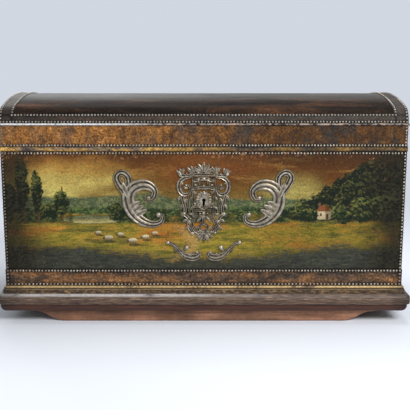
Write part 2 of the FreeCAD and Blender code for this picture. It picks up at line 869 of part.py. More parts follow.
def scroll(shares, width_share, height_share, drop_share, out_share):
    """Left-hand scroll mount, its strokes fused into one casting."""
    width = width_share * bare_height
    height = height_share * bare_height
    low = rim - drop_share * bare_height - height
    outer = -out_share * bare_height

    def place(across, up):
        return Vector(outer + across * width, front_face, low + up * height)

    strokes = [stroke(rows, place, width, scroll_relief) for rows in shares]
    return strokes[0].fuse(strokes[1:])


def scrolls():
    upper = scroll(
        upper_scroll_shares, upper_scroll_width_share, upper_scroll_height_share,
        upper_scroll_drop_share, upper_scroll_out_share,
    )
    lower = scroll(
        lower_scroll_shares, lower_scroll_width_share, lower_scroll_height_share,
        lower_scroll_drop_share, lower_scroll_out_share,
    )
    return {
        "upper_left_scroll": upper,
        "upper_right_scroll": flipped_x(upper),
        "lower_left_scroll": lower,
        "lower_right_scroll": flipped_x(lower),
    }


def escutcheon():
    """Pierced lock plate: mirrored strokes, a shield round the keyhole, and bosses."""
    boss_radius = boss_radius_share * bare_height

    def place(across, up):
        return Vector(across * escutcheon_width / 2, front_face, escutcheon_low + up * escutcheon_height)

    pieces = []
    for rows in escutcheon_shares:
        ridge = stroke(rows, place, escutcheon_width, escutcheon_relief)
        pieces += [ridge, flipped_x(ridge)] if any(row[0] for row in rows) else [ridge]
    for across, up in escutcheon_boss_shares:
        boss = Part.makeSphere(boss_radius, place(across, up), forward, 0, 90, 360)
        pieces += [boss, flipped_x(boss)] if across else [boss]
    middle = place(0, shield_up_share)
    half_high = shield_height_share * bare_height / 2
    half_wide = shield_width_share * bare_height / 2
    oval = Part.Ellipse(middle + Vector(0, 0, half_high), middle + Vector(half_wide, 0, 0), middle)
    shield = Part.Face(Part.Wire(oval.toShape())).extrude(forward * shield_relief)
    whole = shield.fuse(pieces)
    return whole.cut(keyhole(front_face - escutcheon_relief - overrun, front_face + overrun))


def build():
    pieces = {}
    for group in (
        carcase(), body_leather(), base_moulding(), plinth(),
        lid_boards(), lid_staves(), lid_leather(),
        lock_case(), hinges(), handles(), scrolls(),
    ):
        pieces.update(group)
    pieces["lock_bolt"] = lock_bolt()
    pieces["lock_staple"] = lock_staple()
    pieces["lock_escutcheon"] = escutcheon()
    return pieces


os.makedirs("parts", exist_ok=True)
for node, shape in build().items():
    shape.exportStep("parts/%s.step" % node)
    print(node, len(shape.Solids), shape.isValid())
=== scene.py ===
import random
from math import asin, cos, pi, radians, sin

import bmesh
import bpy
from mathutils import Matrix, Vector, noise


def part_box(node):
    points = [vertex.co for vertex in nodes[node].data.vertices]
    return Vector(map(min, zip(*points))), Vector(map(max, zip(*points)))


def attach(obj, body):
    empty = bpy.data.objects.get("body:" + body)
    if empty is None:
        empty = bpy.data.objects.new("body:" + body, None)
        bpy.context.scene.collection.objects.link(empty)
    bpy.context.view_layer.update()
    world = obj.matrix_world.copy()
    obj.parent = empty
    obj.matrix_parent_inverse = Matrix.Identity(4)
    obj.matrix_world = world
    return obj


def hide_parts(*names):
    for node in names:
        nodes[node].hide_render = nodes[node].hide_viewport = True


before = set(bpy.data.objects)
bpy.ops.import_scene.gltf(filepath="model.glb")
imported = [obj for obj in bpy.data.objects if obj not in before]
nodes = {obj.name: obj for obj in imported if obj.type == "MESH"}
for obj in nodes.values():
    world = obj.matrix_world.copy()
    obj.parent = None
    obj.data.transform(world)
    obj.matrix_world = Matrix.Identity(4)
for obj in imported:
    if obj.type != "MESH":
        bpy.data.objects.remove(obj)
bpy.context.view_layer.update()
chance = random.Random(11)

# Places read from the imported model, in metres
face_low, face_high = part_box("front_leather")
band_low, band_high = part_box("lid_front_leather")
wide = face_high.x
deep = -face_low.y
base = face_low.z
rim = face_high.z
lid_foot = band_low.z
spring = band_high.z
leather = face_high.y - face_low.y
board_x = wide - leather
board_y = deep - leather
border_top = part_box("lower_border_strips")[1].z
binding_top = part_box("lid_rim_binding")[1].z
strip = -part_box("lower_border_strips")[0].y - deep
bare = rim - border_top
dome_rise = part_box("lid_stave_4")[1].z - spring
haunch = 0.042
end_border = 0.038
long_border = 0.025
crown = ((board_y - haunch) ** 2 + dome_rise**2 - haunch**2) / (2 * (dome_rise - haunch))
crown_low = spring + dome_rise - crown
crown_turn = asin((board_y - haunch) / (crown - haunch))
haunch_run = haunch * (pi / 2 - crown_turn)
arch_run = 2 * haunch_run + 2 * crown * crown_turn


def arch(run, out=0):
    """Point (y, z) and normal over the lid, run metres from the front foot, out metres above the staves."""
    if run > arch_run / 2:
        y, z, ny, nz = arch(arch_run - run, out)
        return -y, z, -ny, nz
    if run < haunch_run:
        turn = run / haunch
        ny, nz = -cos(turn), sin(turn)
        return haunch - board_y + (haunch + out) * ny, spring + (haunch + out) * nz, ny, nz
    turn = (run - arch_run / 2) / crown
    ny, nz = sin(turn), cos(turn)
    return (crown + out) * ny, crown_low + (crown + out) * nz, ny, nz


# Nail rows: insets from the corners, heights on the box, runs over the dome
inset = 0.0045
strip_out = leather + strip
foot_run, upper_run = 0.0036, 0.0208
long_x, inner_x = wide - inset, wide - 0.034
border_rows = (base + 0.0042, border_top - 0.0034)
top_row = rim - 0.0045
band_row = binding_top + 0.0032
dome_row_heights = (arch(foot_run, strip_out)[1], arch(upper_run, strip_out)[1])
nail_band_reach = 0.007

# Members of the base moulding, up from its foot
mould_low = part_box("base_moulding_front")[0].z
fascia_up, shoulder_up, frieze_up, fillet_up = 0.023, 0.039, 0.051, 0.0616

to_front, to_back = Vector((0, -1, 0)), Vector((0, 1, 0))


def shares(row):
    """Numbers in thousandths, as shares."""
    return tuple(part / 1000 for part in row)


def light(colour):
    """Socket value of a colour in thousandths."""
    return (*shares(colour), 1)


def link(name, data):
    """New object in the scene."""
    made = bpy.data.objects.new(name, data)
    bpy.context.scene.collection.objects.link(made)
    return made


class Graph:
    """Node graph of one material, in the object's own coordinates; tone is its colour so far."""

    def __init__(self, name):
        self.material = bpy.data.materials.new(name)
        self.material.use_nodes = True
        self.tree = self.material.node_tree
        self.shader = self.tree.nodes["Principled BSDF"]
        self.here = Signal(self, self.node("TexCoord").outputs["Object"])
        self.x, self.y, self.z = self.parts(self.here)

    def node(self, kind, settings=(), **inputs):
        made = self.tree.nodes.new("ShaderNode" + kind)
        for key, value in dict(settings).items():
            setattr(made, key, value)
        for key, value in inputs.items():
            self.put(made.inputs[key.replace("_", " ")], value)
        return made

    def signal(self, kind, settings=(), **inputs):
        """First output of a new node."""
        return Signal(self, self.node(kind, settings, **inputs).outputs[0])

    def parts(self, vector):
        return [Signal(self, socket) for socket in self.node("SeparateXYZ", Vector=vector).outputs]

    def put(self, socket, value):
        if isinstance(value, Signal):
            self.tree.links.new(value.socket, socket)
        elif isinstance(value, tuple) and socket.type == "RGBA":
            socket.default_value = light(value)
        else:
            socket.default_value = value

    def math(self, operation, *values):
        made = self.node("Math", {"operation": operation})
        for socket, value in zip(made.inputs, values):
            self.put(socket, value)
        return Signal(self, made.outputs[0])

    def smooth(self, value, low, high):
        ease = {"interpolation_type": "SMOOTHSTEP"}
        return self.signal("MapRange", ease, Value=value, From_Min=low, From_Max=high)

    def away(self, value, middle):
        return self.math("ABSOLUTE", value - middle)

    def near(self, value, middle, reach):
        """One at middle, none beyond reach."""
        return self.smooth(self.away(value, middle), reach, 0)

    def mix(self, share, first, second, blend="MIX"):
        made = self.node("Mix", {"data_type": "RGBA", "blend_type": blend})
        for index, value in ((0, share), (6, first), (7, second)):
            self.put(made.inputs[index], value)
        return Signal(self, made.outputs[2])

    def shade(self, colour, amount):
        """Colour times a number."""
        grey = self.signal("CombineColor", Red=amount, Green=amount, Blue=amount)
        return self.mix(1, colour, grey, "MULTIPLY")

    def coat(self, mask, colour):
        """Lay a colour on the tone where mask is one."""
        self.tone = self.mix(mask, self.tone, colour)

    def dim(self, amount):
        self.tone = self.shade(self.tone, amount)

    def ramp(self, value, *stops):
        made = self.node("ValToRGB", Fac=value)
        elements = made.color_ramp.elements
        for index, (place, colour) in enumerate(stops):
            element = elements[index] if index < 2 else elements.new(place)
            element.position = place
            element.color = light(colour)
        return Signal(self, made.outputs[0])

    def point(self, x, y, z):
        return self.signal("CombineXYZ", X=x, Y=y, Z=z)

    def stretched(self, across, through, up, shift=0):
        place = {"Location": Vector((shift, shift, shift)), "Scale": Vector((across, through, up))}
        return self.signal("Mapping", Vector=self.here, **place)

    def noise(self, place, scale, detail=4, rough=0.55, warp=0):
        """Noise at a place, or over the whole object stretched by these numbers."""
        place = self.stretched(*place) if isinstance(place, tuple) else place
        kind = {"Detail": detail, "Roughness": rough, "Distortion": warp}
        return self.signal("TexNoise", Vector=place, Scale=scale, **kind)

    def cells(self, place, scale, feature="F1"):
        return self.signal("TexVoronoi", {"feature": feature}, Vector=place, Scale=scale)

    def cracks(self, place, scale, reach):
        """Fine lines of a dried surface, one on the line."""
        return self.smooth(self.cells(place, scale, "DISTANCE_TO_EDGE"), reach, 0)

    def row_band(self, heights, uprights, reach):
        """Mask along nail rows at these heights, and along upright rows so far from the middle; callers
        darken the colour with it.
        """
        rows = [self.near(self.z, height, reach) for height in heights]
        rows += [self.near(self.math("ABSOLUTE", self.x), upright, reach) for upright in uprights]
        return self.math("MINIMUM", sum(rows[1:], rows[0]), 1)

    def bump(self, height, distance, strength):
        normal = self.signal("Bump", Height=height, Distance=distance, Strength=strength)
        self.put(self.shader.inputs["Normal"], normal)

    def done(self, **inputs):
        for key, value in {"Base_Color": self.tone, **inputs}.items():
            self.put(self.shader.inputs[key.replace("_", " ")], value)
        return self.material


class Signal:
    """A value in a node graph, with the arithmetic signs."""

    def __init__(self, graph, socket):
        self.graph = graph
        self.socket = socket

    def __add__(self, other):
        return self.graph.math("ADD", self, other)

    def __sub__(self, other):
        return self.graph.math("SUBTRACT", self, other)

    def __rsub__(self, other):
        return self.graph.math("SUBTRACT", other, self)

    def __mul__(self, other):
        return self.graph.math("MULTIPLY", self, other)

    def __truediv__(self, other):
        return self.graph.math("DIVIDE", self, other)

    __radd__ = __add__
    __rmul__ = __mul__


def wood(name, dark, pale, lie, gloss):
    """Old board: grain that lies one way, pores, scuffs."""
    g = Graph(name)
    flow = g.stretched(*lie)
    rings = g.noise(flow, 5, 6, 0.6, 0.9)
    pores = g.noise(flow, 60, 3, 0.7)
    stain = g.noise(g.here, 7, 5, 0.6)
    g.tone = g.ramp(rings, (0.3, dark), (0.7, pale))
    g.coat(g.smooth(pores, 0.6, 0.75), tuple(c * 0.4 for c in dark))
    blotch = 0.5 + g.smooth(stain, 0.3, 0.7)
    g.dim(blotch * (0.6 + 0.8 * g.noise(g.here, 170, 3, 0.7)))
    # Darker in the last few millimetres above the floor.
    g.dim(0.45 + 0.55 * g.smooth(g.z, 0.0005, 0.005))
    g.bump(rings * 0.4 + pores, 0.0006, 0.5)
    return g.done(Roughness=gloss + 0.25 * stain, Specular_IOR_Level=0.25)


def moulding_wood():
    """Dark polished moulding, rubbed on its arrises, with a painted highlight along the shoulder and a gilt
    bead along the top.
    """
    g = Graph("moulding_wood")
    grain = g.noise((1.2, 1.2, 30), 9, 6, 0.65, 0.5)
    stain = g.noise(g.here, 11, 5, 0.65)
    streak = g.noise((0.5, 0.5, 6), 60, 5, 0.7)
    fine = g.noise(g.here, 190, 3, 0.7)
    g.tone = g.ramp(grain, (0.3, (28, 10, 6)), (0.72, (100, 36, 21)))
    arris, frieze, fillet = (mould_low + up for up in (shoulder_up, frieze_up, fillet_up))
    face = g.smooth(g.z, arris - 0.017, arris - 0.015)
    scratched = g.ramp(
        streak, (0.36, (26, 18, 13)), (0.49, (92, 60, 42)), (0.6, (175, 112, 72)), (0.7, (380, 255, 165))
    )
    g.coat(face * 0.85, scratched)
    # Painted highlight: a pale band along the top of the shoulder, strongest on the left.
    painted_highlight = g.smooth(g.z, arris + 0.004, frieze - 0.001) * g.smooth(g.z, frieze + 0.001, frieze - 0.001)
    left = g.smooth(g.x + 0.5 * (stain - 0.5), 0.25, -0.15)
    g.coat(painted_highlight * (0.1 + 0.88 * left) * g.smooth(stain + streak, 0.64, 0.98), (480, 460, 450))
    rub = g.near(g.z, arris, 0.0018) + 0.6 * g.near(g.z, arris - 0.0155, 0.0016)
    g.coat(rub * g.smooth(streak, 0.4, 0.62) * 0.8, (330, 230, 160))
    hollow = g.smooth(g.z, frieze - 0.001, frieze + 0.001) * g.smooth(g.z, fillet + 0.0004, fillet - 0.0004)
    specks = g.smooth(g.noise((0.4, 0.4, 1), 150, 5, 0.75), 0.46, 0.64)
    g.coat(hollow, g.mix(specks, (34, 20, 11), (255, 155, 70)))
    gilt = g.smooth(g.z, fillet, fillet + 0.0005) * g.smooth(stain + 0.5 * (fine - 0.5), 0.26, 0.5)
    # Painted shade in the crease at the foot of the gilt bead.
    groove_shade = g.near(g.z, fillet + 0.0031, 0.0013)
    bead = g.smooth(g.z, fillet + 0.003, fillet + 0.004)
    gold = g.mix(fine, (260, 160, 60), (600, 440, 220))
    g.coat(gilt * (0.45 + 0.55 * bead), gold)
    g.dim((0.5 + fine) * (0.56 + 0.84 * stain) * (1 - 0.8 * groove_shade))
    # Darker towards both ends of the moulding.
    g.dim(1 - 0.7 * g.smooth(g.math("ABSOLUTE", g.x), wide - 0.06, wide + 0.03))
    dents = g.smooth(g.cells(g.here, 60), 0.1, 0.04)
    g.bump(grain + 0.5 * streak - dents, 0.0008, 0.5)
    return g.done(Metallic=gilt * 0.3, Roughness=0.34 + 0.26 * stain, Specular_IOR_Level=0.3)


def hide(
    name, stops, mottle, gloss, shine=0.15, grain=0.8, shift=0, fade=0, grey=0, lie=(1, 1, 1),
    rows=(), uprights=(), band_reach=nail_band_reach, dust_and_sheen=0, flakes=0.3,
):
    """Varnished leather: stain, craquelure, scuffs; towards the right fade darkens it and grey dulls it; the
    crown of the dome can be greyed, partly as dust and partly as a painted sheen.
    """
    g = Graph(name)
    patch = g.noise((*lie, shift), mottle, 8, 0.68, 0.5)
    fine = g.noise(g.here, 200, 3, 0.7)
    worn = g.noise((1, 1, 2.5, shift + 3), 16, 6, 0.7)
    g.tone = g.ramp(patch, *stops)
    right = g.smooth(g.x, -0.7 * wide, 0.5 * wide)
    if grey:
        dull = g.smooth(g.noise((1, 1, 0.7, shift + 5), 17, 8, 0.74), 0.46, 0.62)
        g.coat(dull * (0.35 + 0.65 * right) * grey, (85, 64, 50))
    cell = g.node("TexVoronoi", Vector=g.here, Scale=135)
    flake = g.parts(Signal(g, cell.outputs["Color"]))[0]
    g.dim(1 - flakes / 2 + flakes * flake)
    g.dim((1 - grain / 2 + grain * g.smooth(fine, 0.3, 0.7)) * (1 - fade * right))
    lines = g.cracks(g.stretched(1, 1, 1, shift), 170, 0.06) * g.smooth(worn, 0.4, 0.58)
    lines = lines + g.cracks(g.here, 42.5, 0.014) * g.smooth(worn, 0.35, 0.6)
    g.coat(lines * 0.65, tuple(0.25 * c for c in stops[0][1]))
    scuff = g.smooth(g.noise((0.6, 1, 1.6, shift), 38, 6, 0.78), 0.6, 0.74)
    g.coat(scuff * 0.4, tuple(0.35 * c + 40 for c in stops[-1][1]))
    # Darker along the nail rows.
    if rows:
        g.dim(1 - 0.8 * g.row_band(rows, uprights, band_reach))
    # Grey on the crown of the dome, more on the left: partly dust, partly a painted sheen.
    if dust_and_sheen:
        crest = g.smooth(g.z, spring + 0.05, spring + 0.072)
        dust_and_sheen_mask = crest * (0.2 + 1.5 * patch) * (1.2 - 0.6 * right)
        g.coat(dust_and_sheen_mask * dust_and_sheen, (150, 151, 145))
    g.bump(fine * 0.5 + patch - lines * 0.6, 0.0007, 0.5)
    return g.done(Roughness=gloss + 0.2 * worn, Specular_IOR_Level=shine)


def nosing():
    """Rolled edge under the dome: on the left a painted highlight over rubbed pale leather, on the right
    broken and reddish; its lower half darkened as painted shade.
    """
    g = Graph("bead_leather")
    patch = g.noise(g.here, 85, 6, 0.74)
    fine = g.noise(g.here, 200, 3, 0.7)
    torn = g.ramp(
        patch, (0.4, (16, 12, 10)), (0.48, (110, 84, 70)), (0.55, (290, 250, 220)), (0.64, (480, 270, 160))
    )
    # Painted highlight: near-white on the left of the edge, over rubbed leather.
    pale = g.mix(g.smooth(fine, 0.3, 0.7), (400, 385, 370), (820, 810, 800))
    left = g.smooth(g.x + 0.3 * (g.noise(g.here, 5) - 0.5), -0.12, -0.28)
    g.tone = g.mix(left * g.smooth(patch, 0.3, 0.42), torn, pale)
    # Painted shade on the lower half of the edge.
    g.dim(0.35 + 0.65 * g.smooth(g.z, spring - 0.0048, spring - 0.0028))
    g.bump(patch + 0.5 * fine, 0.0006, 0.5)
    return g.done(Roughness=0.4 + 0.3 * patch, Specular_IOR_Level=0.1 + 0.3 * left)


def painted_leather():
    """Plain country scene in oil on leather under old amber varnish; u and v are shares across and up it."""
    g = Graph("painted_leather")
    smooth, near, away, mix, coat = g.smooth, g.near, g.away, g.mix, g.coat
    u = (g.x + wide) / (2 * wide)

    def lift(height):
        """Share up the panel, with the ground drawn tall."""
        return g.math("POWER", g.math("MAXIMUM", (height - border_top) / bare, 0), 1.25)

    v = lift(g.z)
    fine = g.noise(g.here, 230, 3, 0.7)
    broad = g.noise((1, 1, 2.2), 5, 5, 0.6)
    brush = smooth(g.noise((1, 1, 5), 30, 6, 0.66, 0.5), 0.28, 0.72)
    ragged = g.noise(g.here, 45, 4, 0.7)
    drift, stroke, rag = broad - 0.5, brush - 0.5, ragged - 0.5
    rough_u, rough_v = u + 0.006 * rag, v + 0.016 * rag

    def dabs(scale, shift):
        """Dabs of a brush: the middle of each, and a number for each."""
        cell = g.node("TexVoronoi", Vector=g.point(g.x + 0.006 * ragged, shift, g.z * 1.2), Scale=scale)
        across, _, up = g.parts(Signal(g, cell.outputs["Position"]))
        return (across + wide) / (2 * wide), lift(up / 1.2), g.parts(Signal(g, cell.outputs["Color"]))[0]

    def line(across, scale, shift):
        """Wandering number along the panel, about 0.5."""
        return g.noise(g.point(across * scale, shift, 0), 1, 4, 0.6)

    def blob(across, up, half, high):
        """Squared distance from a middle, one on the rim of an oval."""
        aside, above = (across[0] - across[1]) / half, (up[0] - up[1]) / high
        return g.math("POWER", aside, 2) + g.math("POWER", above, 2)

    def block(across, half, soft, up, high, fade):
        """Upright rectangle about a middle, with soft edges."""
        column = smooth(away(rough_u, across), half, half - soft)
        return column * smooth(away(rough_v, up), high, high - fade)

    bush_u, bush_v, _ = dabs(40, 2)
    lu, lv, leaf_pick = dabs(190, 6)
    round_light = 7 * (v - bush_v) + 9 * (bush_u - u)

    def plant(mask, dark, pale, lit):
        """Paint foliage; lit is how far its dabs are pale."""
        coat(mask, mix(smooth(leaf_pick + lit + round_light, 0.35, 1.15), dark, pale))

    # Sky, yellow low on the left, brown and red above
    height = v + 0.3 * drift + 0.1 * stroke
    bright_sky = g.ramp(
        height, (0.42, (470, 410, 130)), (0.64, (465, 370, 100)), (0.8, (360, 205, 46)),
        (0.92, (240, 98, 22)), (1, (110, 44, 13)),
    )
    dull_sky = g.ramp(
        height, (0.42, (200, 150, 42)), (0.58, (150, 82, 18)), (0.74, (105, 40, 10)),
        (0.92, (55, 22, 8)), (1, (30, 15, 8)),
    )
    g.tone = mix(smooth(u + 0.5 * drift, 0.15, 0.38), bright_sky, dull_sky)
    cloud = g.noise((1, 1, 4.5, 2), 8, 6, 0.65)
    cloud = smooth(cloud, 0.5, 0.62) * near(v, 0.76, 0.3)
    coat(cloud * 0.6, mix(brush, (150, 58, 14), (330, 190, 50)))
    glow = near(u + 0.2 * drift, 0.715, 0.11) * near(v, 0.6, 0.24)
    coat(glow * 0.85, (340, 285, 80))
    ember = near(u + 0.3 * drift, 0.5, 0.24) * smooth(v, 0.62, 0.82)
    coat(ember * 0.7, mix(ragged, (110, 32, 9), (300, 110, 24)))
    g.dim(0.82 + 0.36 * brush)

    # Hills, meadow, lake and path
    hill = 0.44 + 0.24 * line(u, 3.2, 0.7) + 0.01 * rag
    plant(smooth(hill - v, -0.01, 0.02), (62, 82, 40), (150, 160, 66), 0.1)
    hill = 0.34 + 0.22 * line(u, 6.5, 4.2) + 0.03 * rag
    plant(smooth(hill - v, -0.005, 0.015), (26, 46, 18), (110, 145, 44), 0)
    tilled = g.noise((1, 1, 4, 5), 4.2, 6, 0.6)
    ground = g.ramp(
        tilled + 0.14 * stroke, (0.28, (80, 86, 16)), (0.39, (190, 160, 22)), (0.48, (275, 195, 28)),
        (0.57, (330, 170, 26)), (0.67, (330, 118, 20)),
    )
    dim = 1 - 0.3 * smooth(u, 0.45, 0.75)
    ground = g.shade(ground, (0.74 + 0.52 * brush) * (0.8 + 0.4 * ragged) * dim)
    field = 0.4 + 0.14 * (line(u, 4, 8) - 0.5) + 0.02 * rag
    coat(smooth(field - v, -0.008, 0.016), ground)
    furrow = g.noise((0.9, 1, 8, 8), 7, 6, 0.62)
    furrow = smooth(furrow, 0.54, 0.64) * smooth(v, 0.37, 0.3)
    coat(furrow * 0.7, mix(brush, (36, 44, 14), (95, 98, 24)))
    lake = blob((rough_u, 0.222), (rough_v, 0.35), 0.08, 0.036) + 1.2 * (line(rough_u, 14, 2) - 0.5)
    coat(smooth(lake, 1.7, 1) * 0.7, (50, 56, 20))
    water = mix(smooth(v, 0.325, 0.368), (340, 290, 115), (120, 125, 58))
    coat(smooth(lake, 1.05, 0.85), g.shade(water, 0.7 + 0.6 * brush))
    bend = 0.4 + 0.14 * v + 0.05 * g.math("SINE", v * 11)
    path = smooth(away(rough_u, bend) + 0.01 * brush, 0.034, 0.01) * smooth(v, 0.33, 0.25)
    coat(path * 0.7, mix(brush, (300, 170, 50), (430, 290, 100)))

    # Hedge and wooded slope
    hedge = smooth(0.07 * line(lu, 34, 1) + 0.44 * line(lu, 6, 9) + 0.185 - lv, 0, 0.012)
    hedge = hedge * smooth(lv, 0.305, 0.335) * smooth(line(lu, 7, 6), 0.45, 0.52)
    plant(hedge, (16, 28, 12), (105, 120, 34), -0.1)
    rise = 0.4 + 0.62 * smooth(lu, 0.66, 1) + 0.16 * (line(lu, 22, 3) - 0.5) + 0.2 * rag
    slope = smooth(rise - lv, -0.01, 0.02) * smooth(lu, 0.68, 0.73) * smooth(lv, 0.32, 0.35)
    plant(slope, (8, 12, 8), (80, 78, 24), 0.5 * rag - 0.15)

    # Cottage under the slope
    ridge_end = away(rough_u, 0.8) + 0.3 * g.math("MAXIMUM", rough_v - 0.425, 0)
    roof = smooth(ridge_end, 0.0215, 0.019) * smooth(rough_v, 0.418, 0.428)
    roof = roof * smooth(rough_v, 0.482, 0.474)
    wall = block(0.8, 0.0185, 0.002, 0.385, 0.04, 0.008)
    shaded = smooth(u, 0.8, 0.806)
    coat(block(0.789, 0.0032, 0.001, 0.478, 0.026, 0.006), (120, 52, 26))
    plaster = mix(ragged, (260, 195, 100), (500, 410, 250))
    coat(wall, g.shade(plaster, 1 - 0.5 * shaded))
    tiles = mix(ragged, (90, 30, 14), (260, 90, 30))
    coat(roof, g.shade(tiles, 1 - 0.45 * shaded))
    for across, up, tall in ((0.792, 0.39, 0.014), (0.808, 0.374, 0.026)):
        coat(block(across, 0.003, 0.001, up, tall, 0.004), (36, 24, 13))

    # Trees
    for across, low, half in ((0.052, 0.3, 0.0036), (0.088, 0.3, 0.003), (0.148, 0.33, 0.0024)):
        bent = away(rough_u, across) + 0.012 * (line(v + across, 5, across) - 0.5)
        stem = smooth(bent, half, half * 0.6) * smooth(v, low, low + 0.02)
        stem = stem * smooth(v, low + 0.34, low + 0.3)
        coat(stem, mix(ragged, (18, 12, 7), (190, 95, 34)))
    heads = (
        (0.052, 0.7, 0.017, 0.29), (0.088, 0.62, 0.014, 0.22), (0.018, 0.52, 0.026, 0.17),
        (0.12, 0.42, 0.026, 0.08), (0.148, 0.5, 0.022, 0.11), (0.285, 0.42, 0.024, 0.08),
        (0.745, 0.43, 0.022, 0.11), (0.772, 0.39, 0.014, 0.06), (0.846, 0.4, 0.026, 0.09),
        (0.9, 0.43, 0.034, 0.12), (0.955, 0.47, 0.034, 0.15),
    )
    for across, up, half, high in heads:
        oval = g.math("SQRT", blob((lu, across), (lv, up), half, high))
        lit = 0.25 * ((across - lu) / half) + 0.35 * ((lv - up) / high) - 0.1
        mask = smooth(oval + 1.2 * rag, 1, 0.88)
        plant(mask, (10, 17, 9), (120, 125, 34), lit)

    # Grazing sheep
    flock = (
        (0.262, 0.2, 1), (0.292, 0.228, 0.8), (0.322, 0.178, 1.05),
        (0.354, 0.206, 0.85), (0.236, 0.24, 0.7), (0.378, 0.236, 0.7),
    )
    for across, up, size in flock:
        under = blob((u, across + 0.004), (v, up - 0.03 * size), 0.016 * size, 0.012 * size)
        coat(smooth(under, 1.2, 0.4) * 0.8, (40, 42, 14))
        legs = near(away(u, across), 0.0062 * size, 0.0016)
        legs = legs * smooth(away(v, up - 0.022 * size), 0.016, 0.012)
        coat(legs, (50, 34, 20))
        shaggy = blob((rough_u, across), (rough_v, up), 0.011 * size, 0.02 * size) + 0.6 * (fine - 0.5)
        fleece = mix(smooth(v, up - 0.016, up + 0.012), (140, 100, 50), (540, 455, 290))
        coat(smooth(shaggy, 1.15, 0.75), fleece)
        face = blob((u, across - 0.012 * size), (v, up - 0.006), 0.0034 * size, 0.011 * size)
        coat(smooth(face, 1.2, 0.7), (95, 60, 34))

    # Dark bank in front, dark sides and top
    bank = 0.06 + 0.16 * line(u, 5, 12) * smooth(away(u, 0.5), 0.06, 0.36) + 0.05 * rag
    shade = mix(brush, (16, 19, 18), (54, 55, 38))
    shade = mix(smooth(leaf_pick + round_light, 0.7, 1.2) * 0.35, shade, (90, 92, 48))
    coat(smooth(bank - v + 0.07 * stroke, -0.035, 0.035), shade)
    sides = smooth(away(u, 0.5) + 0.1 * drift, 0.36, 0.468)
    coat(sides * 0.92, mix(leaf_pick, (5, 5, 4), (24, 22, 13)))
    top = smooth(g.z, rim - 0.05, rim - 0.004) * smooth(broad, 0.3, 0.6)
    coat(top * 0.6, (55, 27, 12))

    # Darker along the nail rows, varnish, cracks and lost paint
    g.dim(1 - 0.7 * g.row_band((top_row, border_top), (long_x,), nail_band_reach))
    varnish = g.noise(g.here, 9, 5, 0.6)
    g.dim((0.72 + 0.5 * varnish) * (0.74 + 0.52 * smooth(fine, 0.3, 0.7)))
    age = g.noise((1, 1, 1.6, 7), 13, 6, 0.7)
    lines = g.cracks(g.here, 150, 0.06) * smooth(age, 0.42, 0.6)
    lines = lines + g.cracks(g.stretched(0.7, 1, 1.2), 38, 0.014) * smooth(age, 0.38, 0.6)
    coat(lines * 0.5, (20, 13, 7))
    lost = smooth(g.noise(g.here, 95, 5, 0.75) + 0.25 * age + 0.14 * top, 0.78, 0.85)
    coat(lost * 0.7, (340, 150, 56))
    g.bump(brush * 0.7 + leaf_pick * 0.4 + fine - lines, 0.0005, 0.5)
    return g.done(Roughness=0.44 + 0.2 * age, Specular_IOR_Level=0.08)


def silvered_brass(name, furrows=0, bright=(560, 520, 440), corner=0):
    """Tarnished silvering; furrows is how far the hollows go dark, corner how far the left edge goes dark as
    painted shade.
    """
    g = Graph(name)
    spots = g.noise(g.here, 90, 6, 0.68)
    shape = g.node("NewGeometry")
    each = Signal(g, shape.outputs["Random Per Island"])
    raised = g.smooth(Signal(g, shape.outputs["Pointiness"]), 0.455, 0.545)
    rubbed = (0.3 + 0.7 * g.smooth(spots, 0.34, 0.62)) * (0.75 + 0.25 * each)
    rubbed = rubbed * (1 - furrows * (1 - raised))
    # Painted shade: darker near the left edge of the box.
    if corner:
        rubbed = rubbed * (1 - corner * g.smooth(g.x, 0.045 - wide, 0.015 - wide))
    g.tone = g.mix(rubbed, (40, 32, 25), bright)
    warm = g.smooth(g.noise(g.here, 42, 5, 0.65), 0.46, 0.62)
    g.coat(warm * 0.5, (210, 155, 90))
    g.bump(spots, 0.0004, 0.4)
    return g.done(Metallic=0.8, Roughness=0.28 + 0.28 * spots)


def wrought_iron():
    g = Graph("wrought_iron")
    scale = g.noise(g.here, 60, 7, 0.7)
    blows = g.cells(g.stretched(1, 1, 0.7), 75)
    rust = g.smooth(g.noise(g.here, 26, 6, 0.7), 0.52, 0.7)
    g.tone = g.mix(scale, (30, 28, 27), (120, 112, 105))
    g.coat(rust * 0.7, (115, 48, 20))
    g.bump(blows + scale * 0.7, 0.0009, 0.6)
    return g.done(Metallic=0.75 - 0.6 * rust, Roughness=0.42 + 0.3 * scale)


board_tones = (150, 85, 40), (330, 205, 105)
plinth_tones = (140, 60, 34), (360, 185, 110)
along_x, along_y = (1, 14, 14), (14, 1, 14)
inside_wood_x = wood("carcase_wood_long", *board_tones, along_x, 0.55)
inside_wood_y = wood("carcase_wood_end", *board_tones, along_y, 0.55)
plinth_x = wood("plinth_wood_long", *plinth_tones, along_x, 0.45)
plinth_y = wood("plinth_wood_cross", *plinth_tones, along_y, 0.45)
edge_wood = moulding_wood()
front_paint = painted_leather()
dome_hide = hide(
    "dark_leather",
    ((0.34, (8, 6, 5)), (0.5, (20, 13, 9)), (0.6, (58, 26, 13)), (0.74, (105, 48, 24))),
    18, 0.52, shine=0.03, grain=0.7, lie=(0.22, 1, 1), dust_and_sheen=0.95,
)
side_hide = hide(
    "dark_leather_sides",
    ((0.3, (14, 11, 8)), (0.55, (34, 24, 14)), (0.76, (95, 56, 27))),
    8, 0.4, shift=4,
)
band_hide = hide(
    "band_leather",
    ((0.32, (55, 32, 19)), (0.44, (175, 75, 22)), (0.56, (275, 115, 26)), (0.68, (400, 190, 52))),
    44, 0.44, grain=1.3, shift=1.5, fade=0.66, grey=1, lie=(1.2, 1.2, 0.7), rows=(band_row,), flakes=0.6,
)
